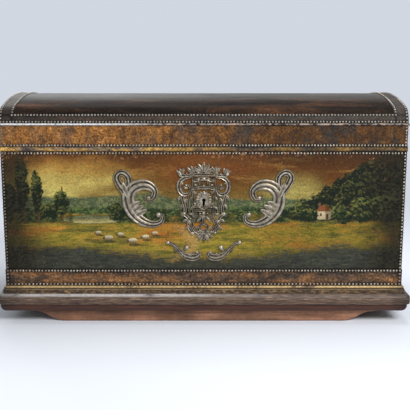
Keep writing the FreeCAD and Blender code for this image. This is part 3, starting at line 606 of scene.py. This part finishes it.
border_hide = hide(
    "border_leather",
    ((0.36, (26, 19, 15)), (0.48, (90, 52, 30)), (0.58, (190, 88, 34)), (0.72, (330, 165, 70))),
    34, 0.44, grain=1.3, shift=6, grey=0.4, lie=(0.3, 0.3, 1.2),
    rows=border_rows, uprights=(long_x,), band_reach=0.0115, flakes=0.5,
)
rim_hide = hide(
    "rim_leather",
    ((0.38, (85, 62, 48)), (0.46, (190, 135, 90)), (0.53, (480, 270, 66)), (0.68, (640, 400, 130))),
    30, 0.44, grain=1, shift=9, fade=0.66, grey=0.7, lie=(0.25, 0.25, 1),
    rows=(binding_top, lid_foot), band_reach=0.0046, flakes=0.5,
)
dome_strip_hide = hide(
    "dome_strip_leather",
    ((0.32, (16, 12, 10)), (0.54, (40, 29, 21)), (0.74, (95, 52, 29))),
    20, 0.42, shift=2.5, lie=(0.5, 1, 1), rows=dome_row_heights, uprights=(long_x, inner_x),
)
bead_hide = nosing()
nail_metal = silvered_brass("silvered_brass_nails", bright=(500, 465, 390), corner=0.6)
dull_metal = silvered_brass("silvered_brass_dull", bright=(340, 318, 280))
mount_metal = silvered_brass("silvered_brass_mounts", 0.92, (490, 435, 340))
handle_metal = silvered_brass("silvered_brass_handles")
iron = wrought_iron()

# Leather turned down at the first and second point from an edge
turned_down = (0.0006, 0.00015)


def between(rings, sides, closed=False):
    """Faces from each ring of points to the next, and from the last to the first if closed."""
    faces = []
    for ring in range(rings if closed else rings - 1):
        here, there = ring * sides, (ring + 1) % rings * sides
        for side in range(sides):
            after = (side + 1) % sides
            faces.append((here + side, here + after, there + after, there + side))
    return faces


class Shape:
    """Points and faces of one piece."""

    def __init__(self):
        self.points = []
        self.faces = []

    def add(self, points, faces):
        first = len(self.points)
        self.points += points
        self.faces += [tuple(first + index for index in face) for face in faces]

    def sheet(self, place, columns, rows, low, high, wave, hole):
        """Closed sheet of leather; place turns shares into a point on what carries it and the way out."""
        outer, inner = [], []
        for row in range(rows + 1):
            for column in range(columns + 1):
                point, out = place(column / columns, row / rows)
                edge = min(column, columns - column, row, rows - row)
                drop = turned_down[edge] if edge < len(turned_down) else 0
                swell = wave * (noise.noise(point * 14) + 0.6 * noise.noise(point * 41))
                outer.append(point + out * (high - drop + swell))
                inner.append(point + out * low)
        count = len(outer)
        faces, border = [], {}
        for row in range(rows):
            for column in range(columns):
                first = row * (columns + 1) + column
                quad = (first, first + 1, first + columns + 2, first + columns + 1)
                if hole and hole(sum((outer[index] for index in quad), Vector()) / 4):
                    continue
                faces += [quad, tuple(count + index for index in reversed(quad))]
                for start, stop in zip(quad, quad[1:] + quad[:1]):
                    if (stop, start) in border:
                        del border[(stop, start)]
                    else:
                        border[(start, stop)] = True
        faces += [(stop, start, count + start, count + stop) for start, stop in border]
        self.add(outer + inner, faces)

    def turned(self, point, out, profile, sides, spin=0):
        """Turned boss on a surface: profile is (radius, height), the last point on the axis."""
        out = out.normalized()
        across = out.orthogonal().normalized()
        other = out.cross(across)
        points = []
        for radius, height in profile[:-1]:
            for side in range(sides):
                turn = spin + 2 * pi * side / sides
                spoke = across * cos(turn) + other * sin(turn)
                points.append(point + out * height + spoke * radius)
        points.append(point + out * profile[-1][1])
        rings = len(profile) - 1
        last = (rings - 1) * sides
        faces = between(rings, sides)
        faces += [(last + side, last + (side + 1) % sides, len(points) - 1) for side in range(sides)]
        faces.append(tuple(reversed(range(sides))))
        self.add(points, faces)

    def piece(self, name, material, body, slot, *replaced, sharp=35):
        mesh = bpy.data.meshes.new(name)
        mesh.from_pydata([tuple(point) for point in self.points], [], self.faces)
        work = bmesh.new()
        work.from_mesh(mesh)
        bmesh.ops.delete(work, geom=[vert for vert in work.verts if not vert.link_faces], context="VERTS")
        bmesh.ops.recalc_face_normals(work, faces=work.faces)
        work.to_mesh(mesh)
        work.free()
        mesh.polygons.foreach_set("use_smooth", [True] * len(mesh.polygons))
        mesh.set_sharp_from_angle(angle=radians(sharp))
        mesh.materials.append(material)
        made = link(name, mesh)
        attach(made, body)
        if replaced:
            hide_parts(*replaced)


def flat(corner, along, up, out):
    """Place function of a flat rectangle."""
    corner, along, up, out = Vector(corner), Vector(along), Vector(up), Vector(out)
    return lambda s, t: (corner + along * s + up * t, out)


def four_sides(low, high, reach_x, reach_y, lap):
    """Place functions of the front, back, left and right of a box; lap lengthens front and back."""
    tall = (0, 0, high - low)
    end_x = reach_x + lap
    return (
        flat((-end_x, -reach_y, low), (2 * end_x, 0, 0), tall, (0, -1, 0)),
        flat((-end_x, reach_y, low), (2 * end_x, 0, 0), tall, (0, 1, 0)),
        flat((-reach_x, -reach_y, low), (0, 2 * reach_y, 0), tall, (-1, 0, 0)),
        flat((reach_x, -reach_y, low), (0, 2 * reach_y, 0), tall, (1, 0, 0)),
    )


def skin(name, material, body, slot, replaced, sheets, low, high, wave=0.00025, hole=None):
    """Piece of sheets of leather, each a place function with its columns and rows."""
    shape = Shape()
    for place, columns, rows in sheets:
        shape.sheet(place, columns, rows, low, high, wave, hole)
    shape.piece(name, material, body, slot, replaced)


# Leather on the box; strips reach a little into what carries them, and ripple less
strip_low, dome_strip_low, strip_wave = -0.0004, -0.0003, 0.0002
key_drop = 0.405
key_up = rim - key_drop * bare
hole_half, hole_low, hole_reach = 0.006, 0.006, 0.012


def in_keyhole(point):
    return abs(point.x) < hole_half and abs(point.z - key_up + hole_low) < hole_reach


walls = four_sides(base, rim, board_x, board_y, leather)
skin(
    "front_leather_skin", front_paint, "carcase", "painted_leather", "front_leather",
    [(walls[0], 220, 80)], 0, leather, hole=in_keyhole,
)
for name, *sheet in (
    ("back_leather", walls[1], 220, 80), ("left_end_leather", walls[2], 52, 40),
    ("right_end_leather", walls[3], 52, 40),
):
    skin(name + "_skin", side_hide, "carcase", "dark_leather", name, [sheet], 0, leather)

borders = four_sides(base, border_top, board_x + leather, board_y + leather, strip)
skin(
    "lower_border_skin", border_hide, "carcase", "border_leather", "lower_border_strips",
    [(place, 96, 8) for place in borders], strip_low, strip, strip_wave,
)


def worn_moulding():
    """Base moulding swept round the box, its corners rounded and its edges chipped by wear."""
    lip, ovolo, fascia, frieze = 0.004, 0.016, 0.027, 0.0125
    bead_out, bead_up, bead = 0.006, 0.0678, 0.0032
    cove_out, cove_up = fascia - frieze, frieze_up - shoulder_up
    turns = [pi / 2 * step / 8 for step in range(1, 9)]
    profile = [(0, 0), (lip, 0)]
    profile += [(lip + ovolo * sin(turn), ovolo - ovolo * cos(turn)) for turn in turns]
    profile += [(0.02, 0.0226), (0.0205, fascia_up), (0.0244, 0.0231), (0.0262, 0.024), (fascia, 0.0264)]
    profile += [(fascia, shoulder_up)]
    for turn in turns:
        profile.append((frieze + cove_out * cos(turn), shoulder_up + cove_up * sin(turn)))
    profile += [(frieze, 0.0613), (0.0122, fillet_up), (0.011, 0.0617), (0.011, 0.0645), (0.0062, 0.0646)]
    profile += [(bead_out + bead * sin(2 * turn), bead_up - bead * cos(2 * turn)) for turn in turns]
    profile += [(0, bead_up + bead)]

    def loop(out):
        """Points, ways out and wear round the box, so far out from its boards."""
        radius = 0.0005 + 0.55 * out
        x, y = board_x + out - radius, board_y + out - radius
        arcs = []
        for index, (middle_x, middle_y) in enumerate(((x, -y), (x, y), (-x, y), (-x, -y))):
            ways = [pi / 2 * (index - 1 + step / 6) for step in range(7)]
            ways = [Vector((cos(way), sin(way), 0)) for way in ways]
            arcs.append([(Vector((middle_x, middle_y, 0)) + way * radius, way, 2) for way in ways])
        made = []
        for index, count in enumerate((60, 140, 60, 140)):
            start, way, _ = arcs[index][-1]
            end = arcs[(index + 1) % 4][0][0]
            made += arcs[index] + [(start.lerp(end, step / count), way, 1) for step in range(1, count)]
        return made

    points = []
    for out, up in profile:
        depth = 0.0035 if fascia_up <= up < 0.03 else 0.001 if out > 0.012 else 0
        for point, way, wear in loop(out):
            point = point + Vector((0, 0, mould_low + up))
            chip = depth * wear * max(noise.noise(point * 38) - 0.05, 0)
            points.append(point - way * chip)
    shape = Shape()
    shape.add(points, between(len(profile), len(points) // len(profile), closed=True))
    shape.piece(
        "base_moulding_skin", edge_wood, "carcase", "moulding_wood",
        "base_moulding_front", "base_moulding_back", "base_moulding_left", "base_moulding_right",
    )


worn_moulding()


# Leather on the lid
def lid_end(way):
    def place(s, t):
        y, z, _, _ = arch(s * arch_run)
        return Vector((way * board_x, y, lid_foot + t * (z - lid_foot))), Vector((way, 0, 0))

    return place


def over_dome(x0, x1, run0, run1, out):
    def place(s, t):
        y, z, ny, nz = arch(run0 + t * (run1 - run0), out)
        return Vector((x0 + s * (x1 - x0), y, z)), Vector((0, ny, nz))

    return place


band = four_sides(lid_foot, spring, board_x, board_y, leather)
for name, *sheet in (
    ("lid_front_leather", band[0], 110, 10), ("lid_back_leather", band[1], 110, 10),
    ("lid_left_leather", lid_end(-1), 56, 14), ("lid_right_leather", lid_end(1), 56, 14),
):
    skin(name + "_skin", band_hide, "lid", "band_leather", name, [sheet], 0, leather)

dome = over_dome(-wide, wide, 0, arch_run, 0)
skin("lid_top_skin", dome_hide, "lid", "dark_leather", "lid_top_leather", [(dome, 110, 60)], 0.0002, leather)

inside = wide - end_border
long_run = long_border * haunch / (haunch + leather)
sheets = [(over_dome(x0, x1, 0, arch_run, leather), 6, 60) for x0, x1 in ((-wide, -inside), (inside, wide))]
for run in (0, arch_run - long_run):
    sheets.append((over_dome(-inside, inside, run, run + long_run, leather), 104, 8))
skin(
    "dome_border_skin", dome_strip_hide, "lid", "border_leather", "dome_border_strips",
    sheets, dome_strip_low, strip, strip_wave,
)

pin_low, pin_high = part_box("right_hinge_pin")
hinge_x = (pin_low.x + pin_high.x) / 2
hinge_room = (pin_high.x - pin_low.x) / 2 + 0.0006
binding = four_sides(lid_foot, binding_top, board_x + leather, board_y + leather, strip)
sheets = [(binding[side], 96, 4) for side in (0, 2, 3)]
corner, notch, notch_end = wide + strip, hinge_x + hinge_room, hinge_x - hinge_room
for x0, x1 in ((-corner, -notch), (-notch_end, notch_end), (notch, corner)):
    place = flat((x0, deep, lid_foot), (x1 - x0, 0, 0), (0, 0, binding_top - lid_foot), (0, 1, 0))
    sheets.append((place, 40, 4))
skin(
    "rim_binding_skin", rim_hide, "lid", "band_leather", "lid_rim_binding",
    sheets, strip_low, strip, strip_wave,
)

# Domed nails; sink is how far what is fastened on goes into what carries it
head = 0.0029
sink = 0.0006
side_ways = {"front": (0, -1, 0), "back": (0, 1, 0), "left": (-1, 0, 0), "right": (1, 0, 0)}


def nails(name, rows, body, metal=nail_metal):
    """One piece from rows of spots, each a point and the way out."""
    shape = Shape()
    for row in rows:
        for point, out in row:
            size = head * chance.uniform(0.93, 1.06)
            high = size * chance.uniform(0.62, 0.76)
            lean = Vector([chance.uniform(-0.09, 0.09) for _ in range(3)])
            cap = (size * 0.8, high * 0.58), (size * 0.44, high * 0.9), (0, high)
            profile = ((size, -sink), (size, 0.0002), *cap)
            shape.turned(point, out + lean, profile, 8, chance.uniform(0, 1))
    shape.piece(name, metal, body, "silvered_brass", sharp=60)


def straight(start, end, out, pitch, skip=None):
    start, end, out = Vector(start), Vector(end), Vector(out)
    count = max(1, round((end - start).length / pitch))
    spots = []
    for index in range(count + 1):
        shift = chance.uniform(-0.06, 0.06) if 0 < index < count else 0
        point = start.lerp(end, (index + shift) / count)
        point = point + Vector([chance.uniform(-0.00025, 0.00025) for _ in range(3)])
        if not (skip and skip(point)):
            spots.append((point, out))
    return spots


def over_arch(x, run0, run1, pitch):
    count = round((run1 - run0) / pitch)
    spots = []
    for index in range(count + 1):
        y, z, ny, nz = arch(run0 + (run1 - run0) * index / count, strip_out)
        spots.append((Vector((x + chance.uniform(-0.0003, 0.0003), y, z)), Vector((0, ny, nz))))
    return spots


def by_corner(side, way, z, out):
    """Spot on one side of the box, beside the corner at one end of it."""
    x, y, _ = side_ways[side]
    return x * (wide + out) or way * (wide - inset), y * (deep + out) or way * (deep - inset), z


def level_rows(z, pitch, out=0, skip=None):
    """Rows at one height on the four sides; skip leaves out spots at the back."""
    rows = {}
    for side, away in side_ways.items():
        ends = [by_corner(side, way, z, out) for way in (-1, 1)]
        rows[side] = straight(*ends, away, pitch, skip if side == "back" else None)
    return rows


def corner_rows(low, high, pitch, out=0):
    """Upright rows beside the corners on the four sides."""
    rows = {side: [] for side in side_ways}
    for way in (-1, 1):
        for side, away in side_ways.items():
            ends = [by_corner(side, way, z, out) for z in (low, high)]
            rows[side] += straight(*ends, away, pitch)
    return rows


def under_hinge(point):
    return abs(abs(point.x) - hinge_x) < hinge_room + head


body_rows = [
    level_rows(border_rows[0], 0.0098, strip),
    level_rows(border_rows[1], 0.0087, strip),
    level_rows(top_row, 0.0087, skip=under_hinge),
    corner_rows(border_top + 0.0055, rim - 0.013, 0.0088),
    corner_rows(border_rows[0] + 0.0096, border_rows[1] - 0.0096, 0.0096, strip),
]
lid_rows = [
    level_rows(band_row, 0.0084, skip=under_hinge),
    corner_rows(binding_top + 0.0115, spring - 0.0105, 0.0085),
]
for side in side_ways:
    nails("body_nails_" + side, [rows[side] for rows in body_rows], "carcase")
    nails("lid_nails_" + side, [rows[side] for rows in lid_rows], "lid")

dome_pitch = 0.0085
dome_rows, arc_rows = [], []
for row_x, run in ((long_x, foot_run), (inner_x, upper_run)):
    for place_on in (run, arch_run - run):
        y, z, ny, nz = arch(place_on, strip_out)
        dome_rows.append(straight((-row_x, y, z), (row_x, y, z), (0, ny, nz), dome_pitch))
    for way in (-1, 1):
        arc_rows.append(over_arch(way * row_x, run + dome_pitch, arch_run - run - dome_pitch, dome_pitch))
nails("dome_nails", dome_rows, "lid", dull_metal)
nails("dome_arc_nails", arc_rows, "lid", dull_metal)

end_count, end_inset = 62, 0.005
end_spots = [arch(arch_run * index / end_count, -end_inset) for index in range(end_count + 1)]
end_rows = [
    [(Vector((way * wide, y, z)), Vector((way, 0, 0))) for y, z, _, _ in end_spots] for way in (-1, 1)
]
nails("lid_end_nails", end_rows, "lid")

# Sections of cast strokes: across and up, in shares of half the width and of the relief
half_flute = ((0.2, 0.92), (0.38, 0.3), (0.5, 0.34), (0.66, 0.8), (0.82, 0.8), (0.96, 0.45), (1, 0))
half_ridge = ((0.34, 0.85), (0.62, 1), (0.92, 0.62), (1, 0))
half_leaf = ((0.14, 0.74), (0.4, 0.78), (0.8, 0.62), (1, 0))


def section(middle, half):
    return (*((-across, up) for across, up in reversed(half)), (0, middle), *half)


flute, ridge, leaf = section(1, half_flute), section(0.35, half_ridge), section(1, half_leaf)

# Strokes, leaves and buttons of the mounts: rows of across, up and half width (or radius), in thousandths
# of the mount's width and height. A fan is across, up, reach, tilt and leaves.
upper_scroll = (
    (
        (625, 553, 26), (665, 483, 42), (765, 510, 56), (800, 620, 66), (700, 710, 90), (547, 730, 108),
        (395, 672, 116), (312, 550, 118), (322, 400, 120), (405, 250, 114), (554, 132, 96), (743, 78, 70),
        (900, 115, 54), (936, 200, 45), (877, 240, 32),
    ),
    (
        (286, 525, 60), (215, 650, 76), (136, 752, 76), (98, 850, 70), (150, 918, 66), (236, 916, 66),
        (308, 848, 68), (318, 752, 64), (290, 660, 40),
    ),
)
upper_leaves = (
    ((285, 575, 44), (235, 680, 60), (205, 775, 14)),
    ((345, 345, 54), (420, 405, 66), (520, 450, 20)),
    ((380, 280, 54), (480, 342, 66), (585, 388, 20)),
    ((440, 215, 52), (550, 275, 60), (645, 320, 18)),
)
upper_buttons = ((680, 508, 50), (868, 232, 54))
lower_scroll = (
    (
        (80, 940, 48), (220, 853, 46), (375, 620, 52), (503, 360, 80), (660, 225, 112), (830, 215, 104),
        (930, 310, 70), (940, 430, 46), (885, 448, 26),
    ),
    ((600, 670, 42), (521, 558, 44), (503, 387, 46), (573, 215, 46)),
)
lower_leaves = (
    ((635, 258, 30), (726, 362, 40), (788, 472, 12)),
    ((270, 750, 24), (295, 564, 32), (358, 400, 10)),
)
lower_buttons = ((85, 930, 58), (600, 685, 72), (885, 450, 44))
escutcheon_strokes = (
    ((0, 825, 34), (437, 825, 34), (728, 813, 34), (903, 825, 28)),
    (
        (461, 803, 30), (728, 788, 44), (912, 739, 49), (940, 662, 49), (825, 598, 46), (621, 591, 37),
        (505, 641, 30), (544, 696, 25), (660, 702, 19),
    ),
    ((398, 810, 24), (398, 564, 24), (398, 318, 24)),
    ((835, 594, 36), (777, 502, 38), (709, 426, 36), (738, 361, 38)),
    ((544, 587, 24), (583, 479, 27), (544, 379, 24)),
    ((0, 776, 38), (155, 776, 42), (311, 754, 32), (398, 770, 22)),
    ((165, 748, 24), (194, 710, 27), (165, 671, 24)),
    ((0, 668, 34), (194, 671, 32), (398, 653, 24)),
    ((0, 420, 30), (194, 450, 28), (398, 441, 24)),
    ((0, 395, 24), (150, 396, 24), (291, 401, 24)),
    ((291, 407, 22), (300, 364, 24), (291, 321, 22)),
    ((0, 327, 26), (150, 330, 26), (398, 322, 24)),
    ((748, 349, 37), (612, 315, 35), (544, 269, 37), (592, 210, 34), (505, 157, 35), (408, 115, 30)),
    ((291, 324, 24), (427, 257, 27), (408, 183, 27), (252, 134, 30), (0, 124, 30)),
    ((0, 238, 25), (130, 217, 26), (140, 172, 26), (0, 145, 25)),
    ((0, 327, 30), (0, 285, 34), (0, 233, 28)),
)
escutcheon_leaves = (
    ((835, 579, 21), (932, 545, 30), (981, 508, 10)),
    ((757, 472, 21), (854, 441, 28), (883, 401, 10)),
    ((621, 284, 21), (728, 275, 28), (796, 253, 10)),
    ((544, 195, 21), (650, 186, 28), (709, 164, 10)),
    ((410, 630, 18), (330, 610, 27), (260, 628, 10)),
    ((410, 490, 18), (330, 475, 27), (260, 470, 10)),
    ((390, 560, 16), (470, 545, 25), (540, 510, 10)),
    ((390, 440, 16), (470, 425, 25), (530, 400, 10)),
    ((390, 360, 16), (500, 355, 26), (600, 370, 10)),
    ((100, 315, 18), (190, 285, 26), (280, 255, 10)),
    ((160, 190, 16), (250, 190, 25), (340, 205, 10)),
    ((600, 660, 18), (700, 665, 26), (780, 690, 10)),
    ((620, 540, 18), (680, 515, 26), (700, 470, 10)),
)
escutcheon_fans = (
    (0, 840, 215, 0, 5), (430, 832, 165, 6, 3), (800, 822, 145, 24, 3), (0, 128, 190, 180, 7),
    (760, 352, 85, 105, 3), (550, 265, 75, 110, 3), (930, 700, 65, 80, 3), (0, 268, 75, 0, 3),
    (0, 700, 70, 0, 3),
)
escutcheon_buttons = (
    (900, 830, 44), (758, 352, 50), (555, 262, 40), (430, 120, 38), (660, 700, 26), (0, 776, 42),
    (0, 364, 34), (195, 772, 30), (311, 700, 26), (0, 700, 24), (398, 653, 30), (398, 441, 30),
    (398, 820, 28), (0, 327, 34), (600, 205, 32), (815, 720, 24), (860, 640, 22), (140, 360, 22),
    (775, 445, 22), (500, 300, 22), (200, 845, 26), (490, 842, 24), (640, 838, 22), (0, 124, 34),
)


def smooth_line(rows, per_span):
    """Points on a smooth line through rows of numbers."""

    def between_two(p, q, r, s, t):
        bend, twist = 2 * p - 5 * q + 4 * r - s, 3 * q - p - 3 * r + s
        return 0.5 * (2 * q + (r - p) * t + bend * t**2 + twist * t**3)

    made = []
    for span in range(len(rows) - 1):
        near = rows[max(span - 1, 0)], rows[span], rows[span + 1], rows[min(span + 2, len(rows) - 1)]
        for step in range(per_span):
            made.append(tuple(between_two(*four, step / per_span) for four in zip(*near)))
    return made + [rows[-1]]


class Casting:
    """A mount on the front; ways are the sides of the middle on which its strokes are drawn."""

    def __init__(self, start, span, width, drop, height, relief, ways):
        self.shape = Shape()
        self.start, self.span, self.width = start * bare, span * bare, width * bare
        self.low, self.height = rim - (drop + height) * bare, height * bare
        self.relief, self.ways = relief, ways

    def at(self, across, up, way):
        return Vector((way * (self.start + across * self.span), -deep, self.low + up * self.height))

    def drawn(self, middle_only):
        return self.ways[:1] if middle_only else self.ways

    def stroke(self, rows, profile, share=1):
        line = smooth_line(rows, 6)
        widest = max(half for _, _, half in rows)
        count, last = len(profile), len(line) - 1
        for way in self.drawn(not any(across for across, _, _ in rows)):
            middles = [self.at(across, up, way) for across, up, _ in line]
            points = []
            for index, (_, _, half) in enumerate(line):
                ahead = middles[min(index + 1, last)] - middles[max(index - 1, 0)]
                side = ahead.cross(to_front).normalized() * half * self.width
                tall = self.relief * share * (0.55 + 0.45 * half / widest)
                for across, up in profile:
                    lift = tall * up if up else -sink
                    points.append(middles[index] + side * across + to_front * lift)
            caps = [tuple(range(count)), tuple(last * count + step for step in reversed(range(count)))]
            self.shape.add(points, between(len(line), count) + caps)

    def palmette(self, across, up, reach, tilt, lobes):
        """Fan of leaves; tilt is the way of the middle one, clockwise from upright."""
        for step in range(lobes):
            turn = radians(tilt + 31 * (step - (lobes - 1) / 2))
            rows = []
            for share, half in ((0.15, 0.11), (0.62, 0.19), (1, 0.06)):
                run = share * reach * self.width
                aside, above = run * sin(turn) / self.span, run * cos(turn) / self.height
                rows.append((across + aside, up + above, half * reach))
            if rows[-1][0] > -0.001:
                self.stroke(rows, leaf)

    def button(self, across, up, radius):
        size = radius * self.width
        tall = min(1.15 * self.relief, size)
        cap = (size * 0.84, tall * 0.62), (size * 0.5, tall * 0.92), (0, tall)
        profile = ((size, -sink), (size, tall * 0.18), *cap)
        for way in self.drawn(not across):
            self.shape.turned(self.at(across, up, way), to_front, profile, 14)

    def draw(self, strokes, profile, leaves, buttons):
        for rows in strokes:
            self.stroke([shares(row) for row in rows], profile)
        for rows in leaves:
            self.stroke([shares(row) for row in rows], leaf, 1.04)
        for button in buttons:
            self.button(*shares(button))

    def finish(self, name):
        self.shape.piece(name + "_casting", mount_metal, "carcase", "silvered_brass", name, sharp=50)


for side, way in (("left", 1), ("right", -1)):
    upper = Casting(
        start=-0.764, span=0.448, width=0.448, drop=0.1365, height=0.512, relief=0.0066, ways=(way,)
    )
    upper.draw(upper_scroll, flute, upper_leaves, upper_buttons)
    upper.finish("upper_%s_scroll" % side)
    lower = Casting(
        start=-0.327, span=0.304, width=0.304, drop=0.7546, height=0.175, relief=0.0066, ways=(way,)
    )
    lower.draw(lower_scroll, flute, lower_leaves, lower_buttons)
    lower.finish("lower_%s_scroll" % side)


def escutcheon():
    """Lock mount, with a lobed shield that has a raised rim round the keyhole."""
    casting = Casting(start=0, span=0.218, width=0.436, drop=0.069, height=0.7, relief=0.0054, ways=(1, -1))
    casting.draw(escutcheon_strokes, ridge, escutcheon_leaves, escutcheon_buttons)
    for *place, tilt, lobes in escutcheon_fans:
        casting.palmette(*shares(place), tilt, lobes)
    shield_up = 0.52
    for step in range(9):
        turn = pi * step / 8
        aside, above = 0.285 * sin(turn), 0.1 * cos(turn)
        lobe = ((0.62, 0.026), (0.88, 0.036), (1.12, 0.012))
        casting.stroke([(aside * reach, shield_up + above * reach, half) for reach, half in lobe], leaf)
    eye, slot_half, slot_long, bevel = 0.005, 0.0032, 0.017, 0.003
    middle = casting.at(0, shield_up, 1)
    sides = 56
    ways = []
    for index in range(sides):
        turn = 2 * pi * index / sides
        ways.append(Vector((sin(turn), 0, cos(turn))))
    hole = []
    for way in ways:
        reach = eye
        if way.z < 0:
            reach = max(eye, min(slot_half / max(abs(way.x), 1e-6), slot_long / -way.z))
        hole.append(Vector((0, -deep, key_up)) + way * reach)
    points = [point + to_front * lift for lift in (-sink, bevel) for point in hole]
    rim_rings = ((0.55, 0.0034), (0.8, 0.003), (0.88, 0.0048), (0.97, 0.0042), (1, 0.0028), (1, -sink))
    for share, lift in rim_rings:
        for start, way in zip(hole, ways):
            edge = middle + Vector((0.047 * bare * way.x, 0, 0.068 * bare * way.z))
            points.append(start.lerp(edge, share) + to_front * lift)
    casting.shape.add(points, between(2 + len(rim_rings), sides, closed=True))
    casting.finish("lock_escutcheon")


escutcheon()


# Wrought nails on the hinges, screws on the lock
def fasteners(name, body, kind, xs, y, heights):
    """Heads seen from the back; kind is profile, sides, greatest turn and sharp angle."""
    profile, sides, turn, sharp = kind
    shape = Shape()
    for x in xs:
        for z in heights:
            shape.turned(Vector((x, y, z)), to_back, profile, sides, chance.uniform(0, turn))
    shape.piece(name, iron, body, "wrought_iron", sharp=sharp)


rose_head = (0.0062, -sink), (0.006, 0.0006), (0.0042, 0.0018), (0.0016, 0.0028), (0, 0.003)
round_head = (0.0046, -0.0004), (0.0046, 0.0005), (0.0036, 0.0016), (0.0014, 0.0021), (0, 0.0022)
rose, screw = (rose_head, 5, 1, 20), (round_head, 12, pi, 30)
# Thickness of straps and staple, and margin of the screws
strap, margin = 0.003, 0.007
body_leaf_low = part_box("right_hinge_body_leaf")[0]
lid_leaf_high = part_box("right_hinge_lid_leaf")[1].z
lock_low, lock_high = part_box("lock_plate")
staple_low, staple_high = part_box("lock_staple")
hinges, strap_out = (-hinge_x, hinge_x), body_leaf_low.y + strap
heights = (body_leaf_low.z + 0.02, body_leaf_low.z + 0.075, rim - 0.034)
fasteners("hinge_body_nails", "carcase", rose, hinges, strap_out, heights)
fasteners("hinge_lid_nails", "lid", rose, hinges, strap_out, (lid_leaf_high - 0.018, lid_foot + 0.022))
across, heights = (lock_low.x + margin, lock_high.x - margin), (lock_low.z + 0.01, lock_high.z - 0.014)
fasteners("lock_screws", "carcase", screw, across, lock_high.y, heights)
across, heights = (staple_low.x + margin, staple_high.x - margin), (lid_foot + 0.013, lid_foot + 0.038)
fasteners("staple_screws", "lid", screw, across, staple_low.y + strap, heights)


# Finishes of the CAD pieces that stay
def finish(material, *names):
    for name in names:
        nodes[name].data.materials.clear()
        nodes[name].data.materials.append(material)


finish(inside_wood_x, "front_board", "back_board", "floor_board", "lid_front_rail", "lid_back_rail")
finish(inside_wood_x, *("lid_stave_%d" % index for index in range(1, 8)))
finish(inside_wood_y, "left_end_board", "right_end_board", "lid_left_end", "lid_right_end")
finish(plinth_x, "plinth_front_runner", "plinth_back_runner")
finish(plinth_y, "plinth_left_bearer", "plinth_right_bearer")
finish(bead_hide, "lid_edge_bead")
finish(iron, *("lock_" + part for part in ("plate", "cover", "keepers", "spring", "bolt", "staple")))
for side in ("left", "right"):
    finish(handle_metal, side + "_handle_posts", side + "_bail")
    finish(iron, side + "_hinge_body_leaf", side + "_hinge_lid_leaf", side + "_hinge_pin")


def studio():
    """Pale floor that melts into a pale background, soft lights, and the camera."""
    scene = bpy.context.scene
    paper = (640, 682, 755)

    def seen(tree):
        """One for what the eye sees directly, in metal or through glass, none for the light on things."""
        path = tree.nodes.new("ShaderNodeLightPath")
        total = path.outputs["Is Camera Ray"]
        for kind in ("Is Glossy Ray", "Is Transmission Ray"):
            add = tree.nodes.new("ShaderNodeMath")
            add.use_clamp = True
            tree.links.new(total, add.inputs[0])
            tree.links.new(path.outputs[kind], add.inputs[1])
            total = add.outputs[0]
        return total

    reach = 30
    corners = [(-reach, -reach, 0), (reach, -reach, 0), (reach, reach, 0), (-reach, reach, 0)]
    mesh = bpy.data.meshes.new("studio_floor")
    mesh.from_pydata(corners, [], [(0, 1, 2, 3)])
    floor = link("studio_floor", mesh)
    g = Graph("studio_paper")
    g.tone = g.mix(g.noise(g.here, 1.5, 2), (700, 734, 800), (750, 784, 850))
    away = g.math("SQRT", g.x * g.x + g.y * g.y)
    melt = g.smooth(away, 0.9, 2.6) * Signal(g, seen(g.tree))
    g.dim(1 - melt)
    glow = {"Emission_Color": paper, "Emission_Strength": melt}
    mesh.materials.append(g.done(Roughness=0.9, Specular_IOR_Level=0, **glow))

    world = bpy.data.worlds.new("studio_light")
    scene.world = world
    world.use_nodes = True
    tree = world.node_tree
    sky = tree.nodes["Background"]
    sky.inputs["Color"].default_value = light((960, 980, 1000))
    sky.inputs["Strength"].default_value = 0.31
    behind = tree.nodes.new("ShaderNodeBackground")
    behind.inputs["Color"].default_value = light(paper)
    both = tree.nodes.new("ShaderNodeMixShader")
    for index, socket in enumerate((seen(tree), sky.outputs[0], behind.outputs[0])):
        tree.links.new(socket, both.inputs[index])
    tree.links.new(both.outputs[0], tree.nodes["World Output"].inputs["Surface"])

    def lamp(name, place, aim, size, power):
        data = bpy.data.lights.new(name, "AREA")
        data.shape = "RECTANGLE"
        data.size, data.size_y = size
        data.energy = power
        made = link(name, data)
        made.location = place
        made.rotation_euler = (Vector(aim) - Vector(place)).to_track_quat("-Z", "Y").to_euler()

    lamp("key", (1.5, -2.4, 2.3), (0, 0, 0.3), (1.6, 1.2), 108)
    lamp("fill", (-2.2, -2.2, 1.4), (0, 0, 0.3), (1.6, 1.6), 12)
    lamp("top", (0.3, 0.3, 2.6), (0, 0.2, 0.5), (1.8, 1.2), 32)
    lamp("rear", (-1.2, 2.6, 1.9), (0, 0, 0.3), (2, 1.4), 26)

    look_down = 10.48
    data = bpy.data.cameras.new("camera")
    data.sensor_width = 36
    data.lens = 66
    data.clip_start = 0.05
    camera = link("camera", data)
    camera.location = (0.0034, -2.2456, 0.7016)
    camera.rotation_euler = (radians(90 - look_down), 0, 0)
    scene.camera = camera
    scene.view_settings.view_transform = "Standard"


studio()
